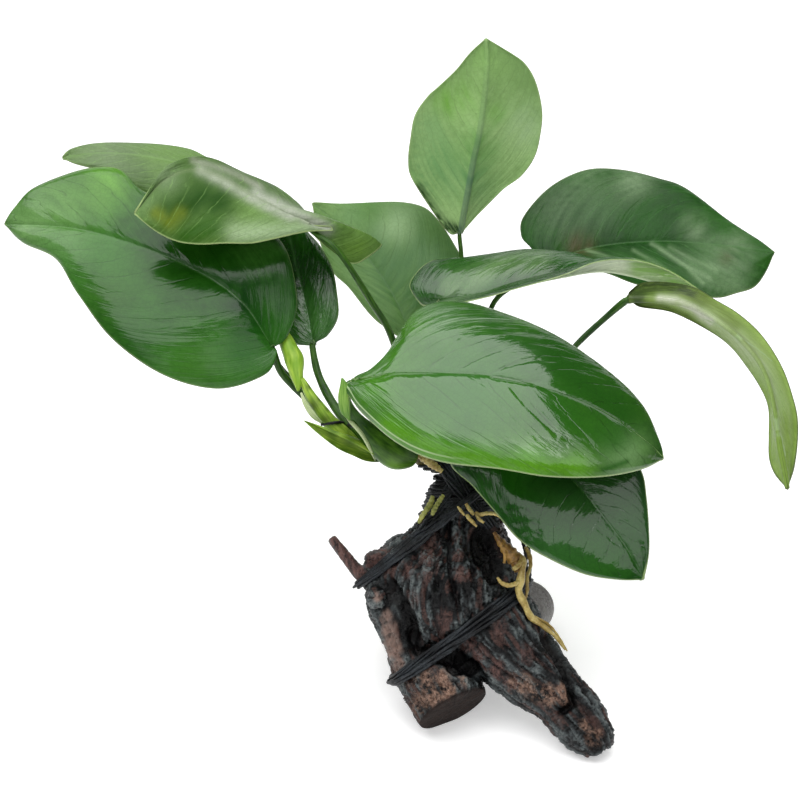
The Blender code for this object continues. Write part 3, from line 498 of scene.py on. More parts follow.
# A leaf's looks. vein, rib and rim say how strongly the side veins, the midrib and the edge are
# coloured, ripple and streak how high the bumps along the veins are, streaky how far the dabs of
# colour break up along them, valley how deep the midrib lies, and shine how strong the gloss is.
# creases are (width, depth, line), and are darkened as painted shade, lines (width, line), fold (distance
# from the rim, start, stop) and shoulders, one on each half, (slope, band along the rim, its width nearer
# the tip, start, stop).
PLAIN = dict(slot="leaf_dark", rows=150, steps=26, vein=0.3, vein_dark=False, rib=0.3, rib_width=0.7,
             rib_colour=None, rib_fade=None, rim=0.3, rim_colour=(300, 400, 160), ripple=0.35, streak=0.12,
             streaky=0, rough=None, shine=0.5, valley=0.16, lean=0, fold=None, shoulders=(), creases=(),
             lines=(), patches=(), bands=())
LOOKS = {    # what differs from PLAIN
    "front": dict(top=BRIGHT, under=BACK_PALE, slot="leaf_bright", vein=0.35, vein_dark=True, rim=0.7,
        rib=0.25, rib_width=0.5, ripple=0.22, rib_colour=(30, 100, 10), rows=230, steps=44, shine=0.55,
        fold=(1.7, 0.3, 0.48),
        shoulders=[(0.27, 11, 4, 0.1, 0.3), (0.27, 11.5, 4.5, 0.16, 0.45)],
        patches=[(-2, -9, 7, (80, 250, 16), 0.8), (10, -15, 7, (90, 270, 18), 0.9),
            (24, -18, 7, (95, 280, 20), 0.9), (38, -20, 7, (95, 280, 20), 0.9),
            (54, -21, 6, (90, 250, 20), 0.8), (67, -15, 6.5, (170, 300, 120), 0.95),
            (42, 12, 4, (70, 150, 55), 0.7), (12, 24, 6, (90, 190, 65), 0.6),
            (20, 4, 22, (26, 110, 16), 0.8), (-8, 3, 6, (60, 210, 12), 0.7),
            (-3, 14, 6, (50, 180, 12), 0.6), (3, 23, 5, (60, 180, 20), 0.5)],
        bands=[([(46, 14), (56, 4), (66, -4)], 9, (8, 56, 2), 0.95),
            ([(44, 2), (54, -8), (64, -12)], 6, (14, 80, 4), 0.8),
            ([(-4, -8), (12, -15.5), (34, -20.5), (52, -20)], 2.6, (74, 225, 8), 0.85),
            ([(61, -21), (68, -18.5)], 0.9, (12, 75, 4), 0.8)],
        creases=[(0.35, 0.16, [(-2.4, 7), (5.4, 7.6), (15.8, 7.6), (26.9, 7)]),
            (0.4, 0.16, [(15.2, 8), (21, 10.6), (28.2, 14.1)]),
            (0.45, 0.18, [(26.9, 7.2), (32.1, 9.4), (39.3, 11.1), (47.1, 10.9)]),
            (0.8, 0.26, [(28, 6.3), (37.3, 4.9), (42, 5.1)]),
            (0.6, 0.2, [(33.4, 2.4), (37.3, -2.1), (42.5, -7.3), (46.7, -10.9)]),
            (0.45, 0.16, [(28.9, -0.2), (34.1, -6), (40.6, -11.9), (47.1, -15.8)]),
            (0.6, 0.2, [(58.8, -9.3), (63, -12.8), (67.9, -15.8)]),
            (0.5, 0.16, [(32.8, 19.3), (37, 19.6), (42, 18.6)]),
            (0.5, 0.14, [(8, 8.2), (13, 12.6), (17.5, 18)])]),
    "left": dict(top=MIDDLE, under=BACK_DEEP, vein_dark=True, rib=0.12, ripple=0.2, streak=0.05,
        rough=0.15, shine=0.28, streaky=0.5,
        patches=[(-88, 65, 8, (110, 280, 35), 0.85), (-101, 59, 10, (110, 260, 50), 0.7),
            (-62, 10, 9, (36, 125, 14), 0.7), (-75, 22, 10, (26, 105, 13), 0.6),
            # painted shade: the dark patches on this line and the next, under the upper-left leaf
            (-54, 36, 9, (6, 55, 2), 0.8), (-42, 22, 8, (6, 60, 2), 0.8), (-47, 14, 6, (10, 85, 3), 0.8),
            (-68, 44, 9, (6, 44, 2), 0.9), (-46, 30, 9, (4, 34, 3), 0.9),
            (-112, 53, 9, (130, 260, 80), 0.8), (-102, 46, 8, (80, 190, 50), 0.7),
            (-88, 31, 8, (26, 92, 10), 0.7)]),
    "upper_left": dict(top=OLIVE_DARK, under=OLIVE_DARK, rim=0.9, shine=0.06, rib=0.25, rib_width=1.6,
        ripple=0.5, rib_colour=(160, 200, 110), streaky=0.3,
        patches=[(-76, 59, 4, (130, 220, 80), 0.7), (-70, 67, 5, (150, 220, 110), 0.8),
            (-38, 66.5, 3, (50, 90, 35), 0.8), (-28, 60, 3, (60, 100, 40), 0.8),
            (-13, 45, 5, (80, 160, 20), 0.7)],
        bands=[([(-68, 56), (-60, 61), (-54, 59)], 5, (14, 55, 4), 1),
            ([(-64, 49), (-56, 52)], 4, (26, 84, 8), 1),
            ([(-73, 56), (-69, 53), (-66, 56)], 2.2, (110, 155, 10), 0.7),
            ([(-49, 50), (-40, 50), (-30, 50)], 3.6, (240, 330, 180), 0.9),
            # painted highlight: these three pale bands run along the ridge where the blade turns away
            ([(-60, 69), (-52, 65), (-42, 59), (-33, 55)], 1.7, (290, 330, 245), 0.8),
            ([(-62, 72), (-52, 69), (-42, 64)], 1.2, (200, 230, 160), 0.8),
            ([(-43, 62), (-33, 57), (-22, 51.5)], 2, (320, 350, 280), 0.85)]),
    "back_left": dict(top=OLIVE_DARK, under=BACK_PALE, slot="leaf_pale", shine=0.2, vein=0.5,
        patches=[(-88, 74, 12, (200, 270, 150), 0.5)]),
    "low_left": dict(top=DEEP, under=BACK_DEEP, vein=0.2, rim=0.2, streaky=0.5,
        patches=[(-24, 23, 8, (40, 130, 24), 0.8)]),
    "upright": dict(top=BACK_LIT, under=BACK_LIT, slot="leaf_pale", shine=0.25, vein=0.25, vein_dark=True,
        rib=0.6, rib_width=1.1, rib_fade=(0.25, 0.9), rib_colour=(66, 118, 84), streaky=0.9,
        patches=[(11, 71, 9, (115, 260, 85), 0.7), (21, 66, 7, (95, 225, 75), 0.7),
            (16, 90, 5, (120, 310, 30), 0.8), (29, 86, 3.5, (125, 300, 45), 0.7),
            (37, 82, 6, (290, 430, 215), 0.6), (26, 102, 6, (230, 410, 120), 0.5),
            (24, 76, 6, (110, 265, 60), 0.6), (8, 82, 5, (150, 300, 110), 0.5)],
        bands=[([(5.4, 63), (8.4, 57.6), (12.6, 52.6), (17, 50.8)], 2, (8, 36, 4), 1)]),
    "middle_back": dict(top=BACK_PALE, under=BACK_PALE, slot="leaf_pale", shine=0.12, vein=0.25,
        vein_dark=True, rib=0.15, rib_colour=(60, 110, 70), streaky=0.3,
        patches=[(6, 40, 30, (42, 112, 30), 0.9), (-1, 52, 6, (200, 310, 150), 0.9),
            (-3, 41, 6, (66, 140, 56), 0.7), (-15, 56, 5, (120, 230, 80), 0.7),
            (12, 52, 6, (85, 180, 50), 0.6), (-9, 57, 4, (60, 150, 30), 0.7),
            (8, 43, 5, (90, 170, 75), 0.6)]),
    "arching": dict(top=DEEP, under=WHITE_BACK, slot="leaf_bright", vein=0.4, rim=0.8, streaky=0.7,
        patches=[(88, 32.5, 5, (120, 300, 30), 0.8), (54, 44, 6, (8, 60, 3), 0.9)],
        bands=[([(16, 33), (30, 40), (42, 42)], 4, (85, 165, 55), 0.75),
            ([(71, 39.6), (78, 38.6), (85, 35.4), (93, 29)], 2.4, (150, 330, 35), 0.9)]),
    "upper_right": dict(top=DEEP, under=BACK_DEEP, vein=0.25, rough=0.36, shine=0.15, streaky=0.7,
        # painted reflection: the grey-green patches below
        patches=[(48, 58, 9, (62, 120, 48), 0.8), (60, 57, 7, (55, 115, 44), 0.7),
            (70, 65, 6, (150, 230, 120), 0.8), (56, 66, 7, (80, 155, 60), 0.7),
            (75, 54, 8, (12, 70, 5), 0.9), (94, 40, 8, (100, 175, 78), 0.8),
            (101, 45, 5, (105, 175, 80), 0.8), (98, 42.5, 2.2, (55, 70, 25), 0.8),
            (100, 34, 6, (110, 190, 85), 0.7), (110, 46, 4, (18, 75, 8), 0.8),
            (88, 52, 4, (110, 180, 85), 0.6), (54, 46, 4, (80, 55, 25), 0.6)],
        bands=[([(66, 43), (75, 40), (84, 36)], 2.5, (20, 80, 10), 0.8),
            # painted reflection: the thin pale streaks below
            ([(75.5, 47), (84, 42), (93, 36.5)], 0.7, (200, 300, 160), 0.55),
            ([(81, 46), (88, 42), (95, 39)], 0.8, (180, 280, 140), 0.5),
            ([(78, 45), (86, 40), (91, 35)], 0.6, (180, 280, 140), 0.5),
            ([(70, 45), (77, 41), (83, 37)], 0.6, (170, 270, 130), 0.5),
            ([(56, 45), (64, 42)], 0.7, (170, 270, 130), 0.5)]),
    # the drooping leaf's dark rim colour: partly the edge's own dark brown, partly painted shade on the
    # edge's underside
    "drooping": dict(top=YELLOW_BACK, under=YELLOW_BACK, slot="leaf_bright", vein_dark=True, rim=0.7,
        shine=0.25, rib=0.15, rib_colour=(100, 150, 30), rim_colour=(40, 60, 12), streaky=0.5,
        lines=[(0.22, [(90.9, 24.4), (96.6, 22), (101.4, 18.9), (106.2, 15.8), (111.9, 11.5)]),
            (0.3, [(111.7, -2.1), (113.1, -7.6), (114.3, -12.4), (115.3, -16.7)])],
        creases=[(0.35, 0.4, [(110.9, -2), (112.3, -7.6), (113.6, -12.8), (115, -19), (116.2, -25)])],
        patches=[(71.5, 30.6, 3.4, (16, 40, 7), 1)],
        bands=[([(92, 25.5), (99.5, 19.5), (104.3, 14.4), (108.4, 9)], 3.4, (350, 450, 220), 0.9),
            ([(109, 8), (112, 3.5), (114, -1)], 3.6, (260, 390, 120), 0.8),
            ([(69, 32), (74, 34), (80, 34.4), (86, 33), (90.5, 30.5)], 2.6, (26, 48, 9), 1),
            ([(90, 31), (96, 27.5), (101, 22.5)], 1.6, (130, 200, 30), 0.8),
            # painted highlight: the near-white band
            ([(78, 30.4), (83, 29.8), (88, 27.4), (93, 23.6)], 1.2, (520, 550, 430), 1),
            ([(74, 28.6), (79, 28.2), (86, 25.2), (91, 21.5), (98, 14.6), (104, 5), (107, -4)],
            0.8, (90, 150, 20), 0.9),
            ([(84, 31.6), (92, 28.2), (99, 22.6), (106, 15), (111, 6), (113, -3)],
            0.6, (130, 190, 35), 0.6)]),
    "low_right": dict(top=DEEP, under=BACK_DEEP, vein_dark=True, rim=0.6, rib=0.1, ripple=0.12,
        streak=0.05, rough=0.09, lean=0.14, valley=0.03,
        # painted shadow: the first, dark patch lies where the front leaf shades this one
        patches=[(36, -27, 9, (6, 75, 2), 0.7), (50, -38, 12, (28, 100, 22), 0.8),
            (66, -34, 10, (28, 100, 22), 0.8)],
        creases=[(0.4, 0.25, [(33.2, -32.6), (36.4, -40.4)]), (0.4, 0.25, [(35.5, -32.6), (38.4, -42)]),
            (0.5, 0.3, [(38, -31.9), (41.9, -41)]), (0.4, 0.2, [(58.5, -37.8), (65.4, -43.5)])]),
}

PALE_LINE = (300, 420, 200)
LOBE_FAN = 1.35        # how closely the rows crowd at the joint, to fan into the lobes
VEINS = 11             # main side veins on each half, from joint to tip
CUP = 0.24             # four times how far a half bulges, over its width
NEAR_RIM = (0.96, 0.985, 1.0)    # the last columns of a half, as fractions of its width
# in millimetres
SKIN = 0.26            # half of a blade's thickness
SPINE = 0.85           # how far the midrib stands out under the joint's end
SPINE_WIDTH = 0.9
QUILT = 0.022          # how high the skin swells between side veins
SWAY = 0.9             # how far the halves wave
CURL = 0.7             # how far the rim bends down
WELT = 0.10            # how high the pale lines stand


def shoulder(rim, band, slope):
    """The height of a blade that slopes down to its rim within a band, in mm."""
    u = np.linspace(0, 2, 201)
    rise = np.cumsum(1 - smooth(u, 0.65, 1.25)) * (u[1] - u[0])
    return slope * band * np.interp(rim / band, u, rise)


def half_blade(middle, midrib, edge, turn, f, s):
    """Places between midrib and edge, at fractions f along and s across, and each row's width."""
    line = along(curve(seen([midrib[0], *edge, midrib[-1]])), f)
    reach = (line - middle)[1:-1]
    upper = unit(np.cross(middle[2:] - middle[:-2], reach)) * turn
    width = np.linalg.norm(reach, axis=1)[:, None]
    bulge = CUP * s * (1 - s)
    at = middle[1:-1, None] + reach[:, None] * s[None, :, None]
    return at + upper[:, None] * (width * bulge)[:, :, None], width.repeat(len(s), 1)


def blade(short, midrib, left, right):
    name = f"leaf_{short}"
    look = {**PLAIN, **LOOKS[short]}
    steps = look["steps"]
    f = np.linspace(0, 1, look["rows"] + 1)
    middle = along(curve(seen(midrib)), f ** LOBE_FAN)
    joint, tip = middle[0], middle[-1]
    s = np.append(0.93 * (np.arange(1, steps - 2) / (steps - 3)) ** 1.25, NEAR_RIM)
    one, one_width = half_blade(middle, midrib, left, 1, f, s)
    other, other_width = half_blade(middle, midrib, right, -1, f, s)
    grid = np.concatenate((one[:, ::-1], middle[1:-1, None], other), 1)
    width = np.concatenate((one_width, one_width[:, :1] * 0, other_width), 1) / MM
    rows, columns = grid.shape[:2]
    across = np.concatenate((-s[::-1], [0], s))[None].repeat(rows, 0)
    t = f[1:-1][:, None].repeat(columns, 1)
    reach = np.abs(across)
    sweep = 0.40 * reach + 0.14 * reach ** 3
    vein = (t - sweep) / (1 - sweep)
    rib = reach * width
    rim = (1 - reach) * width
    tip_gap = np.linalg.norm(grid - tip, axis=2) / MM

    def normals():
        return unit(np.cross(np.gradient(grid, axis=0), -np.gradient(grid, axis=1)))
    seed = sum(map(ord, name))
    quilt = np.cos(TURN * (vein * VEINS + 0.12 * np.sign(across)))
    quilt *= smooth(rim, 0, 5) * smooth(rib, 0.3, 3)
    sway = np.stack((across * 1.3, t * 2.6, np.full_like(t, seed)), 2).reshape(-1, 3)
    sway = wave(sway, 1.0, 3.3).reshape(rows, columns)
    ridge = np.exp(-(rib / SPINE_WIDTH) ** 2)
    lift = (QUILT * quilt - look["valley"] * ridge + SWAY * sway * smooth(reach, 0.05, 0.9)
            - CURL * smooth(reach, 0.86, 1.0) ** 2 * smooth(tip_gap, 0, 8))
    flat = seen_from(grid.reshape(-1, 3))
    flat = flat[:, :2] + 0.25 * np.stack((wave(flat, 0.7, 1.0), wave(flat, 0.7, 9.0)), 1)
    shaded_crease = furrows(flat, look["creases"]).reshape(rows, columns)
    mark = np.full(len(flat), 9.0)
    for wide, line in look["lines"]:
        mark = np.minimum(mark, line_distance(flat, line) / wide)
    mark = mark.reshape(rows, columns)
    lift -= shaded_crease * smooth(rim, 0.3, 2)
    if look["shoulders"]:
        outline = path_tree(np.concatenate((grid[:, 0], grid[:, -1])))
        shore = np.array([outline.find(p)[2] for p in grid.reshape(-1, 3)]).reshape(rows, columns) / MM
        one, other = [shoulder(shore, band + (later - band) * smooth(t, start, stop), slope)
                      for slope, band, later, start, stop in look["shoulders"]]
        lift += one + (other - one) * smooth(across, -0.15, 0.15)
    lift += WELT * np.exp(-mark ** 2)
    grid = grid + normals() * (lift * MM)[:, :, None]
    normal = normals()
    half = SKIN * (1 - 0.75 * reach ** 4)
    top = grid + normal * (half * MM)[:, :, None]
    under = grid - normal * ((half + SPINE * (1 - 0.8 * t) * ridge) * MM)[:, :, None]
    top[:, 0] = under[:, 0] = grid[:, 0]
    top[:, -1] = under[:, -1] = grid[:, -1]

    # Both sheets share the rim; vertex 0 is the joint and vertex 1 the tip.
    count = rows * columns
    up = 2 + np.arange(count).reshape(rows, columns)
    low = up.copy()
    low[:, 1:-1] = 2 + count + np.arange(rows * (columns - 2)).reshape(rows, columns - 2)
    faces = []
    kinds = []
    for sheet, kind in ((up, 0), (low, 1)):
        a, b = sheet[:-1, :-1].ravel(), sheet[1:, :-1].ravel()
        c, d = sheet[1:, 1:].ravel(), sheet[:-1, 1:].ravel()
        patch = list(zip(a, b, c, d))
        patch += [(0, p, q) for p, q in zip(sheet[0, :-1], sheet[0, 1:])]
        patch += [(1, q, p) for p, q in zip(sheet[-1, :-1], sheet[-1, 1:])]
        faces += [p[::-1] for p in patch] if kind == 0 else patch
        kinds += [kind] * len(patch)

    def spread(values, at_joint, at_tip):
        return np.concatenate(([at_joint, at_tip], values.ravel(), values[:, 1:-1].ravel()))
    verts = np.vstack((joint, tip, top.reshape(-1, 3), under[:, 1:-1].reshape(-1, 3)))
    floats = dict(vein=spread(vein, 0, 1), side=spread(across, 0, 0), rib=spread(rib, 0, 0),
                  rim=spread(np.minimum(rim, tip_gap * 0.7), 3, 0), along=spread(t, 0, 1),
                  shaded_crease=spread(shaded_crease, 0, 0), mark=spread(mark, 9, 9),
                  lean=look["lean"] * verts[:, 1] / MM)
    streaks = np.stack((floats["vein"] * 22, floats["side"] * 2.5, np.full(len(verts), seed)), 1)
    streaks = 1 + look["streaky"] * wave(streaks, 1.0, 5.7)
    materials = [leaf_material(f"{short}_upper", look, True), leaf_material(f"{short}_under", look, False)]
    show(f"blade_{short}", (verts, faces), materials, (name,), kinds, floats,
         painted(verts, look["patches"], look["bands"], streaks))


def tone(colour, scale, more=0):
    return tuple(c * scale + more for c in colour)


def leaf_material(name, look, top):
    """Leaf skin: clouds and streaks along the side veins, thin veins, midrib, pale rim, wet gloss."""
    n = Nodes(name)
    dark, light, rough = look["top" if top else "under"]
    if top and look["rough"]:
        rough = look["rough"]
    vein, side, rib, rim = map(n.attribute, ("vein", "side", "rib", "rim"))
    reach = n.math("ABSOLUTE", side)
    half = n.times(n.math("SIGN", side), 7.0)
    streak = n.noise(n.vector(n.times(vein, 40.0), n.times(reach, 3.0), half), 1.0, 4.0, 0.6)
    ripple = n.noise(n.vector(n.times(vein, 11.0), n.times(reach, 2.4), half), 1.0, 3.0, 0.55, 0.6)
    cloud = n.noise(n.place, 32.0, 5.0, 0.6)
    speck = n.noise(n.place, 420.0)
    cell = n.node("ShaderNodeTexVoronoi", {"Vector": n.place, "Scale": 620.0}, feature="DISTANCE_TO_EDGE")
    amount = n.plus(n.times(cloud, 1.7), n.times(streak, 0.35), n.times(speck, 0.3))
    colour = n.tinted(n.mix(n.step(amount, 0.95, 1.45), dark, light))
    # veins: a thin line along each main side vein, and a network of finer ones
    count = n.plus(n.times(vein, float(VEINS)), n.times(half, 0.017), n.times(ripple, 0.9), 0.5)
    gap = n.math("ABSOLUTE", n.math("SUBTRACT", n.math("FRACT", count), 0.5))
    line = n.times(n.step(gap, 0.01, 0.06, 1.0, 0.0), n.step(reach, 0.02, 0.12))
    line = n.times(line, n.step(streak, 0.35, 0.6))
    line_colour = tone(dark, 0.3) if look["vein_dark"] else tone(light, 1.7, 20)
    colour = n.mix(n.times(line, look["vein"]), colour, line_colour)
    net = n.step(cell.outputs["Distance"], 0.0, 0.12, 1.0, 0.0)
    colour = n.mix(n.times(net, 0.14), colour, tone(dark, 0.5))
    # painted shade: the creases darkened towards the dark colour
    if look["creases"]:
        colour = n.mix(n.step(n.attribute("shaded_crease"), 0.08, 0.30, 0.0, 0.55), colour, dark)
    if look["fold"]:
        inside, start, stop = look["fold"]
        fold = n.step(n.math("ABSOLUTE", n.math("SUBTRACT", rim, inside)), 0.12, 0.32, 0.9, 0.0)
        fold = n.times(fold, n.step(n.attribute("along"), start, stop, 1.0, 0.0))
        colour = n.mix(n.times(fold, n.step(side, 0.0, 0.2)), colour, PALE_LINE)
    if look["lines"]:
        colour = n.mix(n.step(n.attribute("mark"), 0.5, 1.2, 0.75, 0.0), colour, PALE_LINE)
    # midrib and rim
    wide = look["rib_width"]
    ribbed = n.times(n.step(rib, wide * 0.3, wide, 1.0, 0.0), look["rib"])
    if look["rib_fade"]:
        ribbed = n.times(ribbed, n.step(n.attribute("along"), *look["rib_fade"], 1.0, 0.2))
    colour = n.mix(ribbed, colour, look["rib_colour"] or tone(light, 1.4, 30))
    edge = n.times(n.step(rim, 0.20, 0.62, 1.0, 0.0), look["rim"])
    colour = n.mix(edge, colour, look["rim_colour"])
    rippled, streaked = (look["ripple"], look["streak"]) if top else (0.3, 0.25)
    bumps = [(ripple, rippled, 0.0016), (streak, streaked, 0.0004), (line, 0.25, -0.00016),
             (n.plus(speck, n.times(net, -0.3)), 0.10, 0.0001)]
    if look["lean"]:
        bumps.append((n.attribute("lean"), 1.0, MM))
    return n.finish(colour, n.plus(n.times(speck, 0.14), rough - 0.07), bumps, look["shine"])


for short_name, leaf_shape in LEAVES.items():
    blade(short_name, *leaf_shape)


# ---- stalks and new growth ----
def green_material(name, dark, light, rough, grain=1.0):
    """Satin stalk tissue with fine lengthwise streaks; "run" and "turn" come with each vertex."""
    n = Nodes(name)
    turn = n.attribute("turn")
    round_ = [n.times(n.math(way, turn), 2.4 * grain) for way in ("COSINE", "SINE")]
    streak = n.noise(n.vector(*round_, n.times(n.attribute("run"), 0.10)), 1.6, 4.0, 0.6)
    cloud = n.noise(n.place, 90.0)
    amount = n.plus(n.times(streak, 1.2), n.times(cloud, 0.8))
    colour = n.tinted(n.mix(n.step(amount, 0.75, 1.3), dark, light))
    return n.finish(colour, n.plus(n.times(cloud, 0.2), rough - 0.1),
                    [(streak, 0.5, 0.0003), (cloud, 0.25, 0.0003)], 0.22)


def show_stem(name, shell, path, turn, material, replaces, tint):
    """A stem's shell with "run", the millimetres along it, and "turn", the angle round it."""
    floats = dict(run=np.repeat(lengths(path) / MM, len(turn)), turn=np.tile(turn, len(path)))
    return show(name, shell, [material], replaces, None, floats, tint)


def stem(name, path, radii, sides, material, replaces, shape, patches=()):
    shell = tube(path, radii, sides, shape)
    turn = np.linspace(0, TURN, sides, endpoint=False)
    return show_stem(name, shell, path, turn, material, replaces, painted(shell[0], patches))


def into_blade(short):
    """A stalk's stations carried on under its blade, along the start of the midrib."""
    stations = STALKS[short]
    joint, after = np.array(LEAVES[short][0][:2], float)
    extra = [(*(joint + (after - joint) * part + (0, -0.5, 0.6)), share * stations[0][3])
             for part, share in ((0.45, 0.35), (0.22, 0.6), (0.02, 0.85))]
    return extra + stations


stalk_green = green_material("stalk_green", (5, 30, 1), (44, 120, 9), 0.36)
for short_name in STALKS:
    if short_name == "front":
        continue
    *longer, (right, up, back, thick) = into_blade(short_name)
    longer += [(right, up, back, thick * 1.35), (right + 0.4, up - 2.2, back - 0.6, thick * 1.5)]
    line, width = stations_path(longer, 90)
    seed = len("stalk_" + short_name) * 1.7

    def fluted(fraction, angles, seed=seed):
        return 1 + 0.06 * np.cos(3 * angles + seed) + 0.04 * math.sin(31 * fraction + seed)
    stem("petiole_" + short_name, line, width, 14, stalk_green, ("stalk_" + short_name,), fluted)

# The front leaf's stalk: a thick dark sheath that swells to a rounded bulb, with a light green wing.
bulb_green = green_material("bulb_green", (10, 46, 2), (68, 165, 11), 0.30)
young_green = green_material("young_green", (110, 230, 12), (330, 480, 60), 0.38)
rhizome_green = green_material("rhizome_green", (16, 22, 5), (110, 85, 25), 0.5, 0.6)


def grooved(fraction, angles):
    deep = 0.16 * smooth(fraction, 0.25, 0.7)
    return 1 - deep * np.exp(-((angles - 1.7) / 0.5) ** 2) + 0.03 * np.cos(5 * angles + 4 * fraction)


line, width = stations_path(into_blade("front"), 110)
front_petiole = stem("petiole_front", line, width, 26, bulb_green, ("stalk_front",), grooved,
                     [(-15.6, 1.5, 3.0, (110, 240, 50), 0.8), (-12, -4, 2.2, (70, 170, 30), 0.6),
                      (-2, -20, 3.2, (120, 250, 35), 0.8)])


def leaf_scars(fraction, angles):
    ring = 0.10 * math.cos(fraction * 60) ** 3
    return 1 + ring + 0.05 * np.cos(2 * angles + 9 * fraction)


RHIZOME = [(-8, -12.4, 4, 2.6), (-3, -13.6, 5, 3), (4, -15, 6, 3.2), (11, -18, 6, 3.8), (20, -20, 6, 4),
           (28, -20.6, 6, 3.7), (34.5, -23, 6, 3.2), (39, -25, 6, 2.2)]
line, width = stations_path(RHIZOME, 140)
rhizome = stem("creeping_stem", line, width, 24, rhizome_green, ("rhizome",), leaf_scars)


def rolled(name, stations, turns, replaces, colour, marks):
    """A young leaf rolled round itself: a sheet wound in a spiral along the path.

    marks are the (right, up, reach, strength) of places tinted with the colour.
    """
    path, radii = stations_path(stations, 60)
    _, side, lift = frames_along(path)
    around = 46          # vertices round the outside of the sheet
    thick = 0.22 * MM
    last = len(path) - 1
    verts = []
    for i in range(len(path)):
        spin = np.linspace(0, TURN * turns, around) + 2.3 + 0.9 * i / last
        outer = radii[i] * (0.72 + 0.28 * np.linspace(0, 1, around))
        inner = outer - thick * min(1, radii[i] / MM)
        ring = directions(spin, side[i], lift[i])
        verts += [path[i] + ring * outer[:, None], (path[i] + ring * inner[:, None])[::-1]]
    verts = np.vstack(verts)
    sides = 2 * around
    faces = ring_faces(len(path), sides)
    for base, way in ((0, -1), (last * sides, 1)):
        for j in range(around - 1):
            faces.append((base + j, base + j + 1, base + sides - 2 - j, base + sides - 1 - j)[::way])
    turn = np.concatenate((np.linspace(0, 6, around), np.linspace(6, 0, around)))
    there = seen_from(verts)[:, :2]
    amounts = [strength * np.exp(-(np.linalg.norm(there - (x, y), axis=1) / reach) ** 2)
               for x, y, reach, strength in marks]
    tint = np.hstack((np.tile(np.array(colour) / FULL, (len(verts), 1)), np.max(amounts, 0)[:, None]))
    return show_stem(name, (verts, faces), path, turn, young_green, replaces, tint)


rolled("young_leaf_roll",
       [(-36.5, 23, 5, 0.5), (-35.6, 21, 4.4, 1.6), (-34.2, 18, 3.4, 2.5), (-32.8, 15, 2.2, 2.9),
        (-31.5, 12, 0.8, 3.3), (-31, 8.4, -0.8, 2.5), (-30.5, 5.4, -2.2, 1.7), (-30.6, 2.7, -3.2, 0.4)],
       1.25, ("new_leaf_roll",), (160, 320, 20),
       [(-34, 16.5, 2.6, 0.7), (-30.5, 11, 2.4, 0.7), (-30, 6, 2, 0.7)])
young_stalk = rolled(
    "young_stalk",
    [(-29.4, 6.4, -2.6, 0.8), (-28.2, 4, -2.9, 1.3), (-26.5, 0.9, -3.2, 1.8), (-24, -2.6, -3.6, 2.2),
     (-21, -6.4, -3.6, 2.5), (-17, -10, -3, 2.6), (-13, -13, -1, 2)],
    1.12, ("new_leaf_stalk",), (60, 100, 10),
    [(-27.2, 4, 1, 0.9), (-24.2, 0.2, 1, 0.9), (-21.6, -2.6, 1, 0.9), (-19, -4.8, 1.1, 0.9),
     (-26, -1.6, 2, 0.9), (-22.6, -6, 1.8, 0.9)])
lower_sheath = rolled(
    "lower_leaf_sheath",
    [(-28.8, -6.2, -7, 0.15), (-25.6, -8.2, -8, 1.1), (-21.6, -10.6, -9, 2.1), (-17.4, -12.8, -9.4, 3),
     (-13.2, -14.6, -8, 3.2), (-9.2, -16.6, -6.2, 2.9), (-5.4, -17.4, -3, 2.2), (-2.6, -17, 0, 1.2)],
    0.66, ("lower_sheath",), (50, 120, 10),
    [(-25, -10.8, 1.5, 0.9), (-21, -13.4, 1.9, 0.9), (-17, -16, 2, 0.9), (-12.4, -18.6, 2.2, 0.9),
     (-20, -9.4, 2, 0.8), (-15, -12, 2.2, 0.8)])

white_green = green_material("white_green", (260, 350, 140), (560, 620, 380), 0.40)
wing_green = green_material("wing_green", (80, 200, 20), (230, 380, 80), 0.36)


def plain_round(fraction, angles):
    return np.ones(len(angles))


def leafy_fold(name, stations, thin, material):
    """A small flat sheath: a tube pressed to a fraction of its width."""
    def pressed(fraction, angles):
        return np.sqrt(np.cos(angles) ** 2 + (thin * np.sin(angles)) ** 2)
    path, radii = stations_path(stations, 40)
    stem(name, path, radii, 20, material, (), pressed)


leafy_fold("petiole_wing", [(-17.4, 6.6, -19.5, 0.3), (-16.8, 4, -19.5, 1.3), (-16.9, 0.4, -19, 1.7),
                            (-16.4, -3.2, -18, 1.5), (-15.2, -5.8, -16.4, 0.4)], 0.5, wing_green)
leafy_fold("young_stalk_sheath", [(-29.7, 2.2, -4.6, 0.3), (-28.3, -1.2, -5.4, 0.8), (-26, -4.6, -5.8, 0.9),
                                  (-23.6, -6.8, -5.6, 0.35)], 0.35, white_green)
# a thin tapering ridge laid on what the eye sees of the front leaf's stalk
ridge = pinned([(-17.2, -3.2), (-14.6, -6.6), (-11.2, -10.6), (-8.7, -15.2), (-7.4, -18.2)],
               search_tree(front_petiole, lower_sheath), 0.0)
taper = 0.65 * MM * (0.25 + 0.75 * np.sin(np.linspace(0.15, math.pi - 0.15, 40)))
stem("petiole_ridge", along(curve(ridge), np.linspace(0, 1, 40)), taper, 10, white_green, (),
     plain_round)


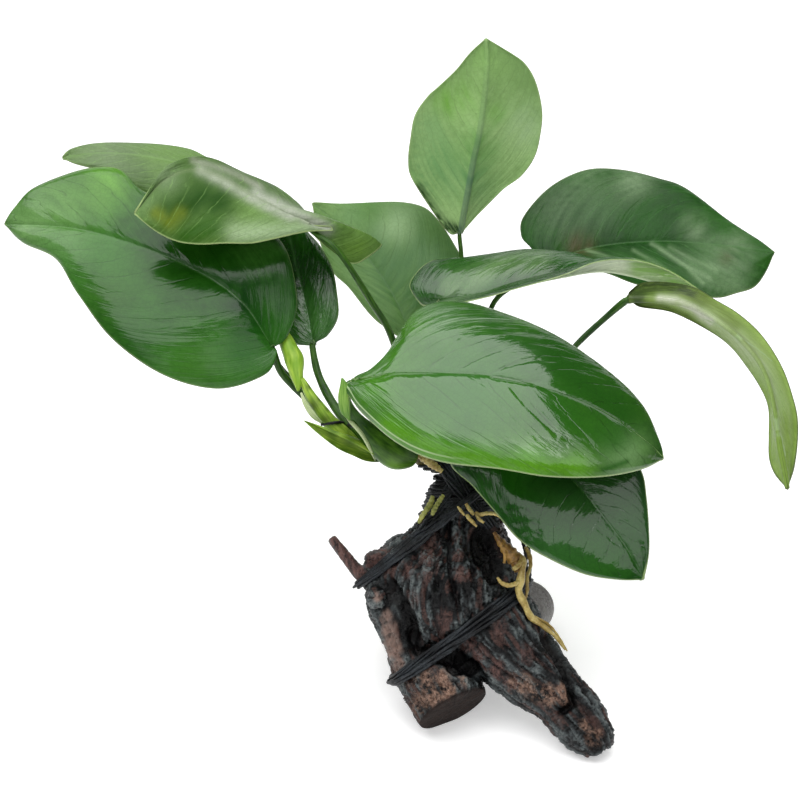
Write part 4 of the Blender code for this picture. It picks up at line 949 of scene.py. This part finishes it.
# ---- driftwood ----
# Stems of one piece of wood: depth over width, and (right, up, back, radius) stations.
WOOD = {
    "trunk": (0.72, [(19, -24, 6, 8.4), (18.6, -31, 6, 10), (18.4, -37, 6.4, 13), (17.6, -43.5, 7, 17),
        (16, -50, 7.6, 22.4), (14.8, -56, 8, 24.6), (15.2, -62, 8.4, 24), (17, -70, 8.6, 20),
        (18, -75, 8.6, 13)]),
    "left_stem": (1, [(-6.2, -53, 4, 4.2), (-4.6, -60, 1, 5.8), (1.2, -69, 2, 7.4), (7.2, -78.5, 4, 9.8),
        (12.3, -86, 2, 11.4), (16.1, -93, -1.2, 11)]),
    "right_prong": (0.9, [(26, -62, 6, 13), (29, -69, 4, 14), (36, -78, 1, 11.8), (47, -88.6, -4, 9.2),
        (54.6, -97.2, -7.6, 7.9), (58.6, -102.2, -8.6, 6.5), (60.4, -105, -8.8, 4.2)]),
    "rear_stub": (1, [(25, -71, 8, 7.2), (28.4, -73, 15, 7.2), (31, -72.4, 25, 7.8), (35, -66.6, 38, 8.6),
        (38.2, -61.6, 51, 9)]),
    "back_leg": (0.9, [(11, -56, 12, 11), (9, -57, 18, 10), (5, -61.5, 28, 9), (2.6, -67, 38, 8),
        (1.6, -70, 46, 7)]),
    "blade": (0.5, [(-6.5, -56.6, 4, 3.4), (-11, -53.2, 4, 2.4), (-15, -48.7, 3.4, 2.1),
        (-18, -44.8, 2.6, 1.9), (-20.7, -41.2, 2, 1.6)]),
    "wedge": (0.7, [(-1, -49.4, 5, 4.4), (-6, -48.2, 3, 3.6), (-10.4, -48.2, 2, 2.2)]),
    "knot": (1, [(-6.4, -58.2, 2, 4.4), (-6.6, -58.6, -2, 3.4), (-6.9, -59.4, -8.4, 2.7)]),
}
CHIP_WIDTH = 1.7                                 # mm
CHIP_LENGTH = 4.6                                # mm
VOXEL = 0.00048                                  # metres
SOLE = 0.00001                                   # metres, the level that the feet are cut off at
SAWN = {"left_stem": 11.0, "rear_stub": 8.8}     # stems with a sawn end, and its radius

# Grooves on the side towards the eye, also darkened as painted shade: (width, depth, line) in millimetres.
GROOVES = [
    (2.2, 3.6, [(-3, -56), (0.6, -61.5), (3, -68), (4.6, -75)]),
    (0.5, 0.8, [(-6.2, -62.4), (-3.4, -68), (-1.4, -74)]),
    (0.9, 2, [(14.6, -35.5), (15, -50.7), (16.2, -57.3), (18.3, -63.6)]),
    (0.7, 1.3, [(11.1, -36.8), (10.9, -44), (10.8, -50.7), (11.4, -57)]),
    (0.6, 1.2, [(3.9, -44.8), (6.5, -52.4), (8.6, -60)]),
    (0.8, 1.5, [(19.2, -37.1), (20.8, -44.3), (22.1, -50.8), (22.8, -56.3)]),
    (0.5, 1, [(15, -55.7), (18.2, -60.5), (19.5, -63.8)]),
    (0.7, 1.2, [(0.5, -50), (2.5, -57), (5, -63.5)]),
    (1.3, 3.2, [(43.5, -71.4), (48.2, -78.2), (51.4, -86), (51.8, -91.1), (48.4, -93.8)]),
    (0.7, 1.3, [(20, -72), (26, -78), (33, -84)]), (0.6, 1, [(26, -68), (33, -76), (41, -84)]),
    (0.5, 0.9, [(33, -66), (39, -73), (45, -81)]), (0.6, 1, [(24, -73.5), (31, -80), (38, -86)]),
    (0.5, 0.8, [(49, -95), (54, -99), (57.5, -103)]), (0.5, 0.8, [(54, -90), (58, -96), (60, -101)]),
    (0.5, 0.4, [(-14, -46.5), (-18.5, -42.8)]),
    (0.5, 1.1, [(-3.6, -59.5), (-4.6, -57.2), (-6.8, -56.3), (-9, -57.2), (-9.9, -59.5), (-9, -61.8),
        (-6.8, -62.8), (-4.6, -61.8), (-3.6, -59.5)]),
    (2, 3, [(22, -81), (18, -78.5), (11, -76.5), (7, -76)]),
]
# Hollows there, also darkened as painted shade: (right, up, half width, half height, depth).
HOLLOWS = [(25.4, -43.5, 4.8, 7.6, 4.6), (28.4, -50.5, 3.8, 5.4, 3.8), (17.5, -80, 4.5, 3, 2.4)]
# Colour marks: (right, up, reach, strength). Torn is rusty splintered wood, pale is light brown,
# blush is pinkish brown.
TORN = [(37.6, -85.8, 3.2, 0.9), (41.5, -87.6, 3, 1), (44.8, -88.6, 3, 1), (49.1, -87.4, 2.6, 1.2),
        (50, -90.4, 2.2, 1), (55.2, -97.2, 1.8, 0.9), (58.2, -101, 2.8, 0.8), (34, -84.6, 2.2, 0.7),
        (3.6, -83, 2.8, 0.7), (8.4, -84, 3.2, 0.9), (12.6, -83.4, 3.2, 0.9), (9.6, -88.4, 3.4, 1),
        (14.4, -87, 3, 1), (18.6, -84.6, 2.4, 0.8), (5.6, -90.6, 2.6, 0.7), (13, -90.6, 2.2, 0.8)]
PALE = [(-6.7, -59.4, 1.8, 1), (-4.2, -65, 2.2, 1), (-3.4, -69, 2.6, 1), (-2.6, -72.5, 2.6, 1),
        (-1.8, -75, 2.8, 1), (-0.4, -79.5, 2.4, 0.9)]
BLUSH = [(-19.5, -42.5, 3.5, 1), (-16.5, -46.5, 3.5, 1), (-13, -51, 3.5, 1), (-6, -46.4, 4, 0.9),
        (8.4, -42, 3.4, 0.8), (8.8, -47.5, 3, 0.9), (7.6, -52.5, 2.6, 0.6), (17.2, -41, 1.7, 0.7),
        (17.4, -46.5, 1.8, 0.9), (18, -52, 2, 0.9), (21, -52.8, 2, 0.8), (3.2, -60, 3, 0.6),
        (20, -73, 2.6, 0.8), (24, -77, 2.6, 0.9), (29, -81, 2.8, 0.9), (33.5, -84.4, 2.6, 0.9),
        (30, -68, 3, 0.5), (38, -76, 3, 0.5), (2, -51.4, 2.4, 0.6), (-9, -48, 3, 0.9), (13, -66, 3, 0.5)]


def wood_core():
    """All the stems as one closed surface."""
    shells = []
    for flat, stations in WOOD.values():
        def outline(fraction, angles, flat=flat):
            return 1 - (1 - flat) * np.sin(angles) ** 2
        shells.append(tube(*stations_path(stations, 40), 40, outline))
    core = put_in("wood_core", new_mesh("wood_core", *gather(shells)))
    step = core.modifiers.new("remesh", "REMESH")
    step.mode = "VOXEL"
    step.voxel_size = VOXEL
    step = core.modifiers.new("smooth", "SMOOTH")
    step.factor = 0.5
    step.iterations = 8
    made = bpy.data.meshes.new_from_object(core.evaluated_get(bpy.context.evaluated_depsgraph_get()))
    bpy.data.objects.remove(core, do_unlink=True)
    return made


def bark_relief(places):
    """Four reliefs that run along whichever stem a place belongs to, blended where stems meet:
    ridges, fine grain, chips (low in the cracks between them) and broad strips."""
    total = np.zeros((4, len(places)))
    weights = np.zeros(len(places))
    for k, (_, stations) in enumerate(WOOD.values()):
        path, radii = stations_path(stations, 60)
        travel, side, lift = frames_along(path)
        tree = path_tree(path)
        near = np.array([tree.find(p)[1] for p in places])
        off = places - path[near]
        ratio = np.linalg.norm(off, axis=1) / radii[near]
        use = ratio < 1.7
        weight = np.exp(-9 * ratio) * use
        u, v = (off * side[near]).sum(1), (off * lift[near]).sum(1)
        size = np.maximum(np.hypot(u, v), 1e-6)
        pace = np.linalg.norm(path[1] - path[0])
        run = (near * pace + (off * travel[near]).sum(1)) / MM
        around = np.stack((u / size, v / size), 1)
        rim = radii[near] / MM
        girth = around * rim[:, None] / 5
        far = run * 0.045 + k * 7
        reliefs = np.zeros((4, len(places)))
        for i in np.nonzero(use)[0]:
            g, a = girth[i], around[i] * rim[i] / CHIP_WIDTH
            relief = noise.ridged_multi_fractal(Vector((*g * 1.15, far[i])), 0.9, 2.1, 4, 1.0, 2.0) - 1.1
            fine = noise.fractal(Vector((*g * 5, far[i] * 3.2 + 0.035 * run[i])), 0.8, 2.1, 3)
            warp = 0.5 * relief
            gaps = noise.voronoi(Vector((a[0] + warp, a[1] - warp, run[i] / CHIP_LENGTH + fine)))[0]
            chip = min(1, (gaps[1] - gaps[0]) / 0.22) - 0.8
            strip = noise.noise(Vector((g[0] * 2.8 + 5, g[1] * 2.8 + warp * 0.4, far[i] * 0.9)))
            reliefs[:, i] = relief, fine, chip, strip
        total += reliefs * weight
        weights += weight
    return total / np.maximum(weights, 1e-12)


def driftwood():
    mesh = wood_core()
    places, normals = arrays(mesh)
    there = seen_from(places)
    flat = there[:, :2]
    facing = smooth(normals @ (0, -math.cos(TILT), math.sin(TILT)), 0.0, 0.35)
    ridges, fine, chips, strips = bark_relief(places)
    grain = wave(places, 420, octaves=4)
    lump = wave(places, 90)

    sawn = np.zeros(len(places))
    cuts = []
    for key, radius in SAWN.items():
        path, _ = stations_path(WOOD[key][1], 40)
        out = unit(path[-1] - path[-3])
        gap = (places - path[-1]) @ out
        off = np.linalg.norm(places - path[-1] - gap[:, None] * out, axis=1) / MM
        cap = (gap > -1.1 * MM) & (off < radius + 1)
        cuts.append((cap, out, gap, smooth(off, radius - 1, radius + 1)))
        sawn = np.maximum(sawn, cap)
    stub = smooth(there[:, 2], 20, 28) * smooth(flat[:, 0], 20, 26)
    spike = smooth(-flat[:, 0], 9, 13)
    # the sawn ends, the rear stub and the thin blade at the left are smoother
    quiet = (1 - sawn) * (1 - 0.85 * stub) * (1 - 0.75 * spike)

    # how far the bark stands out, in millimetres
    depth = (0.75 * ridges + 0.45 * fine + 0.7 * lump + 0.28 * grain + 0.55 * chips) * quiet
    wander = flat + 0.5 * np.stack((lump, fine), 1)
    shaded_groove = furrows(wander, GROOVES)
    for right, up, wide, tall, deep in HOLLOWS:
        oval = np.hypot((flat[:, 0] - right) / wide, (flat[:, 1] - up) / tall)
        shaded_groove = np.maximum(shaded_groove, deep * (1 - smooth(oval, 0.55, 1.1)))
    shaded_groove *= facing * quiet
    layers = dict(relief=ridges + 0.7 * fine + 0.6 * lump, chips=chips, strips=strips, shaded_groove=shaded_groove,
                  sawn=sawn, stub=stub)
    for key, marks, loose in (("torn", TORN, 0.9), ("pale", PALE, 0.6), ("blush", BLUSH, 0.9)):
        shade = np.zeros(len(places))
        for right, up, reach, strength in marks:
            d = np.hypot(flat[:, 0] - right, (flat[:, 1] - up) * 0.8) + loose * (lump + fine)
            shade = np.maximum(shade, strength * (1 - smooth(d, reach * 0.4, reach * 1.15)))
        layers[key] = shade * facing * (1 - 0.8 * sawn)
    depth += layers["torn"] * (0.7 * np.abs(grain) - 0.3) - shaded_groove
    places = places + normals * (depth * MM)[:, None]
    for cap, out, gap, rounding in cuts:
        level = -(0.15 + 0.5 * rounding) * MM
        places[cap] += out * (level - gap)[cap][:, None]
    mesh.vertices.foreach_set("co", places.astype(np.float32).ravel())

    work = bmesh.new()
    work.from_mesh(mesh)
    for key, values in layers.items():
        layer = work.verts.layers.float.new(key)
        for v, value in zip(work.verts, values):
            v[layer] = value
    cut = bmesh.ops.bisect_plane(work, geom=work.verts[:] + work.edges[:] + work.faces[:], dist=1e-6,
                                 plane_co=(0, 0, SOLE), plane_no=(0, 0, -1), clear_outer=True)
    rim = [e for e in cut["geom_cut"] if isinstance(e, bmesh.types.BMEdge)]
    bmesh.ops.holes_fill(work, edges=rim, sides=0)
    bmesh.ops.triangulate(work, faces=[f for f in work.faces if len(f.verts) > 4])
    made = bpy.data.meshes.new("driftwood")
    work.to_mesh(made)
    work.free()
    made.shade_smooth()
    made.materials.append(wood_material())
    return place_piece(made, [f"driftwood_{part}" for part in (
        "trunk", "left_stem", "right_prong", "rear_stub", "back_leg", "blade", "twig_end")])


def wood_material():
    """Wet, charred, splintered wood: cracks and grooves painted black as shade, grey-green flecks on the
    ridges that are worn wood with a painted highlight, pinkish and rusty patches.
    """
    n = Nodes("charred_driftwood")
    relief, chips, strips, sawn, stub, blush, pale, torn, shaded_groove = map(n.attribute, (
        "relief", "chips", "strips", "sawn", "stub", "blush", "pale", "torn", "shaded_groove"))
    broad = n.noise(n.place, 60.0, 4.0)
    small = n.noise(n.place, 300.0, 5.0, 0.65)
    dust = n.noise(n.place, 1100.0, 4.0, 0.65)
    stretched = n.node("ShaderNodeMapping", {"Vector": n.place, "Scale": (1300.0, 1000.0, 240.0)})
    fibre = n.noise(stretched.outputs[0], 1.0, 4.0, 0.6)
    high = n.plus(n.times(relief, 0.60), n.times(small, 0.8), n.times(chips, 0.30), n.times(strips, 0.50))
    colour = n.mix(n.step(high, 0.15, 0.95), (2.6, 3.0, 3.4), (58, 70, 73))
    ruddy = n.step(n.plus(n.times(strips, -1.0), broad), 0.62, 0.80)
    colour = n.mix(n.times(ruddy, n.step(small, 0.35, 0.6, 0.2, 0.85)), colour, (78, 40, 33))
    blushed = n.times(blush, n.step(fibre, 0.36, 0.58, 0.15, 1.0))
    colour = n.mix(blushed, colour, n.mix(small, (50, 22, 18), (210, 115, 100)))
    # grey-green flecks on the highest relief: worn wood, with a painted highlight
    worn_and_highlit = n.times(n.step(high, 0.50, 1.05), n.step(dust, 0.42, 0.58))
    colour = n.mix(n.times(worn_and_highlit, 0.85), colour, (150, 170, 165))
    paled = n.times(pale, n.step(fibre, 0.35, 0.6, 0.75, 1.0))
    colour = n.mix(paled, colour, n.mix(small, (120, 70, 55), (330, 230, 190)))
    crumbs = n.times(torn, n.step(small, 0.36, 0.56))
    colour = n.mix(crumbs, colour, n.mix(n.step(dust, 0.3, 0.7), (60, 26, 17), (370, 230, 165)))
    colour = n.mix(n.times(sawn, 0.9), colour, n.mix(fibre, (7, 3, 2), (28, 16, 12)))
    colour = n.mix(stub, colour, n.mix(small, (70, 64, 58), (150, 140, 132)))
    # painted shade: the cracks between chips, where the relief is lowest, darkened nearly to black
    crack_shade = n.times(n.step(chips, -0.75, -0.35, 0.85, 0.0), n.math("SUBTRACT", 1.0, stub))
    colour = n.mix(n.times(crack_shade, 0.85), colour, (3.0, 2.5, 2.5))
    # painted shade: the grooves and hollows darkened nearly to black
    colour = n.mix(n.step(shaded_groove, 0.4, 1.8, 0.0, 0.95), colour, (1.2, 1.1, 1.3))
    roughness = n.math("MAXIMUM", n.plus(n.times(small, 0.5), 0.06), n.times(sawn, 0.95))
    bumps = [(small, 0.9, 0.0011), (fibre, 0.6, 0.0005), (dust, 0.6, 0.0004)]
    return n.finish(colour, roughness, bumps, 0.24)


wood = driftwood()


# ---- what lies on the wood ----
wood_tree = search_tree(wood)


def laid(path, radii, tree, bury):
    """The path pushed out so that the tube lies on the surface, sunk a little of its radius."""
    out = path.copy()
    for i, p in enumerate(path):
        hit, normal, _, distance = tree.find_nearest(Vector(p))
        clear = radii[i] * (1 - bury)
        inside = (Vector(p) - hit).dot(normal) < 0
        if inside or distance < clear:
            out[i] = hit + normal * clear
    for _ in range(3):
        out[1:-1] = (out[:-2] + 2 * out[1:-1] + out[2:]) / 4
    return out


def root_material(name, dark, light):
    n = Nodes(name)
    cloud = n.noise(n.place, 260.0, 4.0)
    speck = n.noise(n.place, 1400.0, 2.0)
    colour = n.mix(n.step(n.plus(cloud, n.times(speck, 0.5)), 0.55, 0.95), dark, light)
    n.put(n.shader.inputs["Subsurface Weight"], 0.15)
    n.put(n.shader.inputs["Subsurface Radius"], (0.002, 0.001, 0.0005))
    return n.finish(colour, 0.42, [(cloud, 0.5, 0.0004), (speck, 0.3, 0.0001)], 0.5)


root_tan = root_material("root_tan", (260, 170, 35), (560, 450, 160))
root_olive = root_material("root_olive", (110, 130, 15), (340, 340, 80))
root_amber = root_material("root_amber", (120, 55, 8), (420, 240, 60))
ROOT_LOOKS = {"root_left_outer": root_olive, "root_left_inner": root_olive, "root_amber_pad": root_amber,
              "root_amber_inner": root_amber}
ROOTS = {
    "root_main": [(33, -45.5, -5.4, 0.9), (36.6, -47.6, -5.4, 1.1), (36.6, -50.8, -6, 1.2),
        (36.2, -54, -6.6, 1.2), (35.6, -57.4, -7, 1.1), (37.4, -61.2, -7, 1.05), (39.4, -65.2, -6, 1),
        (43, -67.8, -4.5, 0.8), (46.6, -71, -3.5, 0.55), (49.6, -75, -3, 0.3)],
    "root_side": [(29.2, -53.2, -10, 0.35), (30.4, -54.8, -10, 0.6), (32.4, -55.6, -9.6, 0.65),
        (34.4, -55.2, -8.6, 0.7), (36, -54.2, -7, 0.6)],
    "root_left_outer": [(9.8, -29, -5, 0.7), (9.2, -31, -6, 0.85), (7.6, -33.4, -6.4, 0.85),
        (6.2, -35.6, -5.4, 0.7), (5.6, -37, -5, 0.4)],
    "root_left_inner": [(13, -28.6, -7, 0.6), (12, -30, -7.6, 0.7), (10.4, -32.6, -8, 0.75),
        (9.6, -34.6, -8, 0.5)],
    "root_right_upper": [(22.6, -33.8, -9, 0.5), (24, -34.4, -9.4, 0.55), (26, -34, -9.6, 0.6),
        (28.6, -34.2, -8, 0.5), (30.4, -35.4, -6, 0.4)],
    "root_right_lower": [(20, -34.4, -10, 0.5), (20.8, -35.6, -10.4, 0.6), (21.8, -36.6, -10.6, 0.55),
        (23, -38, -10.8, 0.3)],
}
FINE_ROOTS = {
    "root_amber_pad": [(28.6, -40.4, -5, 0.6), (30.6, -43, -5, 1.4), (33, -46, -5, 2.2),
        (35, -48.6, -5, 2), (35.6, -51.6, -5.4, 1.2)],
    "root_amber_inner": [(28.2, -39.6, -6, 0.5), (30, -42.6, -6, 0.7), (31.6, -46, -6.6, 0.7),
        (31.2, -49, -7, 0.4)],
    "root_hook": [(36.6, -47.4, -6, 0.5), (35.6, -49.6, -7, 0.8), (33.8, -50.8, -7.6, 0.6)],
    "root_neck_one": [(19.8, -31.2, -8, 0.5), (21, -33, -9, 0.6), (22.2, -34.4, -9.6, 0.5)],
    "root_neck_two": [(22.8, -34.4, -9.6, 0.4), (23.8, -35.8, -10, 0.5), (25.2, -36.8, -10, 0.35)],
    "root_neck_three": [(17.4, -32, -8, 0.35), (18.4, -33.4, -9, 0.45), (19.4, -34.6, -9.4, 0.3)],
    "root_pale_strand": [(37.6, -44, -1, 0.4), (38.8, -46.6, -1, 0.7), (39.2, -49.6, -1, 0.6),
        (38.2, -53, -3, 0.5), (38.2, -57, -4, 0.55), (37.8, -59.4, -5, 0.3)],
    "root_prong_thread": [(40.5, -65, -5, 0.4), (44.5, -67.4, -3.4, 0.45), (47.6, -71, -2.5, 0.35),
        (50.2, -75.4, -2, 0.2)],
    "root_bud": [(5.6, -16.4, -0.4, 0.7), (7.4, -17.8, -0.8, 1.15), (10.4, -19.8, -1, 1.15),
        (12.6, -21.4, -0.6, 0.7)],
}


def root(name, key, stations, replaces=()):
    path, radii = stations_path(stations, max(24, 9 * len(stations)))
    seed = len(name) * 3.1

    def knobs(fraction, angles):
        return 1 + 0.10 * math.sin(fraction * 40 + seed) + 0.06 * np.cos(2 * angles + 12 * fraction + seed)
    shell = tube(laid(path, radii, wood_tree, 0.35), radii, 14, knobs)
    return show(name, shell, [ROOT_LOOKS.get(key, root_tan)], replaces)


root_pieces = [root("tan_" + key, key, stations, (key,)) for key, stations in ROOTS.items()]
root_pieces += [root(key, key, stations) for key, stations in FINE_ROOTS.items()]


# ---- thread ----
def thread_material():
    n = Nodes("black_thread")
    fuzz = n.noise(n.place, 1800.0, 3.0, 0.7)
    cloud = n.noise(n.place, 160.0)
    # painted highlight: bluish-grey flecks over the black, where the fuzz and cloud noise run high
    amount = n.step(n.plus(fuzz, n.times(cloud, 0.8)), 0.75, 1.15)
    return n.finish(n.mix(amount, (1.8, 2.2, 3.0), (28, 34, 40)), 0.50, [(fuzz, 0.8, 0.00016)], 0.3)


thread_black = thread_material()
CORD = 0.42             # radius of one twisted strand, mm
TWIST = 1.5             # radians of twist a millimetre
CORD_SIDES = 8
CORD_STEP = 0.55        # mm between rings of a strand
RING = 240              # places round one loop


def cord(path, radius=CORD, closed=False):
    """A three-ply twisted strand along the path."""
    length = lengths(path)[-1] / MM
    if closed:
        path = np.vstack((path, path[:1]))
    steps = int(length / CORD_STEP)
    path = along(path, np.arange(steps) / (steps if closed else steps - 1))

    def plies(fraction, angles):
        return 1 + 0.2 * np.cos(3 * (angles + TWIST * fraction * length))
    return tube(path, np.full(len(path), radius * MM), CORD_SIDES, plies, closed)


def hull(places):
    """The taut outline round flat places, as an array."""
    def turn(a, b, c):
        return (b[0] - a[0]) * (c[1] - a[1]) - (b[1] - a[1]) * (c[0] - a[0])
    out = []
    for ordered in (sorted(places), sorted(places, reverse=True)):
        chain = []
        for p in ordered:
            while len(chain) > 1 and turn(chain[-2], chain[-1], p) <= 0:
                chain.pop()
            chain.append(p)
        out += chain[:-1]
    return np.array(out)


def rail(start, end, tree, slip, taut):
    """A loop round what the tree holds, in the plane of sight through a line, slipped sideways.

    taut is how far it spans hollows instead of following them. The directions outwards come too.
    """
    first, last = seen([start, end])
    across = unit(last - first)
    sight = seen((0, 0, 1))[0] - seen((0, 0, 0))[0]
    deep = unit(sight - across * sight.dot(across))
    middle = (first + last) / 2 + np.cross(across, deep) * slip * MM
    reach = 0.09
    angles = TURN * np.arange(RING) / RING
    rays = directions(angles, across, deep)
    flat = []
    turns = []
    for angle, ray in zip(angles, rays):
        hit = tree.ray_cast(Vector(middle + ray * reach), Vector(-ray), reach)[0]
        if hit is not None:
            d = np.array(hit) - middle
            flat.append((d.dot(across), d.dot(deep)))
            turns.append(angle)
    ground = np.interp(angles, turns, [math.hypot(*p) for p in flat], period=TURN)
    outline = hull(flat)
    x, y = outline.T
    along_x, along_y = (np.roll(outline, -1, 0) - outline).T
    size = []
    for angle in angles:
        cross = math.cos(angle) * along_y - math.sin(angle) * along_x
        cross[np.abs(cross) < 1e-15] = np.inf
        far = (x * along_y - y * along_x) / cross
        where = (x * math.sin(angle) - y * math.cos(angle)) / cross
        size.append(far[(far > 0) & (where >= -1e-6) & (where <= 1 + 1e-6)].max())
    size = np.array(size) * taut + ground * (1 - taut)
    return middle + rays * size[:, None], rays


def bundle(start, end, tree, wide, groups, seed, taut, lift, pinch=0.0):
    """Strands twisted round one another in flat groups, all round one loop.

    groups are (sideways middle, sideways reach, height, strands, turns), in mm. pinch draws the
    strands together where the loop turns at its start.
    """
    rng = random.Random(seed)
    rails = [rail(start, end, tree, slip, taut) for slip in (-wide, 0, wide)]
    (before, _), (centre, out), (after, _) = rails
    run = np.arange(RING) / RING * TURN
    drawn = 1 - pinch * np.exp(-((run - math.pi) / 0.5) ** 2)
    shells = []
    for middle, reach, height, count, turns in groups:
        for k in range(count):
            phase = TURN * k / count + rng.uniform(-0.4, 0.4)
            sway = sum(rng.uniform(0.05, 0.16) * np.sin(w * run + rng.uniform(0, 6)) for w in (1, 2, 3, 5))
            sideways = (middle + reach * np.cos(phase + turns * run) + sway) * drawn
            high = lift + CORD * 0.7 + height * 0.5 * (1 + np.sin(phase + turns * run))
            high = high + 0.12 * (1 + np.sin(7 * run + phase))
            blend = np.clip(sideways / wide, -1, 1)[:, None]
            path = centre + np.where(blend < 0, before - centre, after - centre) * np.abs(blend)
            path = path + out * (high * MM)[:, None]
            for _ in range(2):
                path = (np.roll(path, 1, 0) + 2 * path + np.roll(path, -1, 0)) / 4
            shells.append(cord(path, CORD * rng.uniform(0.85, 1.1), closed=True))
    return shells


def wound(name, shells, replaces):
    show(name, gather(shells), [thread_black], (replaces,))


def at_neck(there):
    return (there[:, 1] > -37.5) & (there[:, 0] > 6) & (there[:, 0] < 30)


neck_tree = search_tree(wood, rhizome, keep=at_neck)
neck = []
for seed, first, last, lift in ((3, (9, -32.6, 6), (30, -31, 6), 0.0),
                                (4, (9, -29.4, 6), (30, -27, 6), 0.2),
                                (5, (9.4, -25.4, 6), (29, -24.6, 6), 0.1),
                                (6, (9.6, -22, 6), (28, -22.4, 6), 0.3),
                                (7, (9.5, -34, 6), (20, -17.5, 6), 0.5),
                                (8, (24, -34, 6), (11.5, -18, 6), 0.8)):
    neck += bundle(first, last, neck_tree, 2.2, [(-1.2, 0.7, 0.7, 4, 2), (1.1, 0.8, 0.8, 4, -1)], seed,
                   0.8, lift)
wound("neck_thread", neck, "thread_neck_wrap")
upper = bundle((-12, -54.8, 6), (30, -20.3, 6), search_tree(wood, rhizome, *root_pieces), 2.2,
               [(-1.0, 0.8, 0.9, 5, 3), (1.0, 0.8, 0.9, 5, -2), (0.0, 1.0, 1.7, 3, 1)], 21, 0.8, 0.2, 0.55)
wound("upper_band_thread", upper, "thread_upper_band")


def in_front(there):
    """The wood without its rear branches, which the lower band passes in front of."""
    return there[:, 2] < 24


lower = bundle((-5, -85.8, 6), (36, -56.2, 6), search_tree(wood, keep=in_front), 2.6,
               [(-1.1, 0.8, 1.0, 5, 3), (1.1, 0.8, 1.0, 5, -2), (0.0, 0.9, 1.9, 3, 1)], 31, 0.85, 0.1, 0.45)
wound("lower_band_thread", lower, "thread_lower_band")

core_tree = search_tree(wood, *root_pieces)
RIGHT_STRANDS = [
    [(31, -30, 2, 0.5), (34.6, -37, 2, 0.5), (37.2, -44, 2.5, 0.5), (37.9, -49.6, 4, 0.5),
     (37.8, -55, 4, 0.5), (36.6, -59, 3, 0.5)],
    [(32, -29, 3, 0.5), (36, -37, 3, 0.5), (38.4, -43.5, 3.5, 0.5), (39, -50, 4.5, 0.5),
     (38.6, -56, 4, 0.5), (37, -60, 3, 0.5)]]
wound("right_thread", [cord(laid(*stations_path(stations, 60), core_tree, 0.0), stations[0][3])
                       for stations in RIGHT_STRANDS], "thread_right_strands")
crossing = pinned([(-23.4, -7.2), (-20.5, -6.9), (-18.2, -6.8), (-16, -7.2), (-14, -7.8)],
                  search_tree(young_stalk, lower_sheath, front_petiole), 0.3)
wound("crown_thread", [cord(curve(crossing))], "thread_over_crown")


# ---- studio ----
def studio():
    scene = bpy.context.scene
    reach = 3.0          # metres
    corners = [(-reach, -reach, 0), (reach, -reach, 0), (reach, reach, 0), (-reach, reach, 0)]
    mesh = new_mesh("floor", corners, [range(4)])
    n = Nodes("floor_paper")
    for key, value in (("Base Color", (860, 860, 860)), ("Roughness", 0.9),
                       ("Emission Color", (FULL, FULL, FULL)), ("Emission Strength", 0.40)):
        n.put(n.shader.inputs[key], value)
    mesh.materials.append(n.material)
    put_in("floor", mesh)

    world = bpy.data.worlds.new("studio")
    world.use_nodes = True
    scene.world = world
    tree = world.node_tree
    back = tree.nodes["Background"]
    back.inputs["Color"].default_value = (1, 1, 1, 1)
    rays = tree.nodes.new("ShaderNodeLightPath")
    pick = tree.nodes.new("ShaderNodeMapRange")
    tree.links.new(rays.outputs["Is Glossy Ray"], pick.inputs["Value"])
    pick.inputs["To Min"].default_value = 0.32
    pick.inputs["To Max"].default_value = 0.12
    tree.links.new(pick.outputs[0], back.inputs["Strength"])

    target = Vector(CENTRE * MM)
    # softboxes: place from the middle of the view in metres, width, height, how bright
    boxes = [("overhead", (-0.115, -0.015, 0.60), 0.67, 0.83, 3.5),
             ("behind", (0.10, 1.00, 0.55), 1.80, 0.60, 1.2),
             ("front_left", (-0.60, -0.90, 0.55), 0.50, 0.50, 1.2),
             ("near_right", (0.090, -0.165, 0.180), 0.24, 0.15, 1.6)]
    for name, offset, wide, tall, bright in boxes:
        light = bpy.data.lights.new(name, "AREA")
        light.shape = "RECTANGLE"
        light.size = wide
        light.size_y = tall
        light.energy = bright * math.pi * wide * tall
        lamp = put_in(name, light)
        lamp.location = target + Vector(offset)
        lamp.rotation_euler = Vector(offset).to_track_quat("Z", "Y").to_euler()
        lamp.visible_camera = False

    lens = bpy.data.cameras.new("eye")
    lens.sensor_width = 36
    lens.lens = lens.sensor_width / 2 * EYE / HALF_VIEW
    lens.clip_start = 0.01
    eye = put_in("eye", lens)
    eye.location = target - Vector((0, math.cos(TILT), -math.sin(TILT))) * EYE * MM
    eye.rotation_euler = (math.pi / 2 - TILT, 0, 0)
    scene.camera = eye
    scene.view_settings.view_transform = "Standard"
    scene.view_settings.look = "None"


studio()
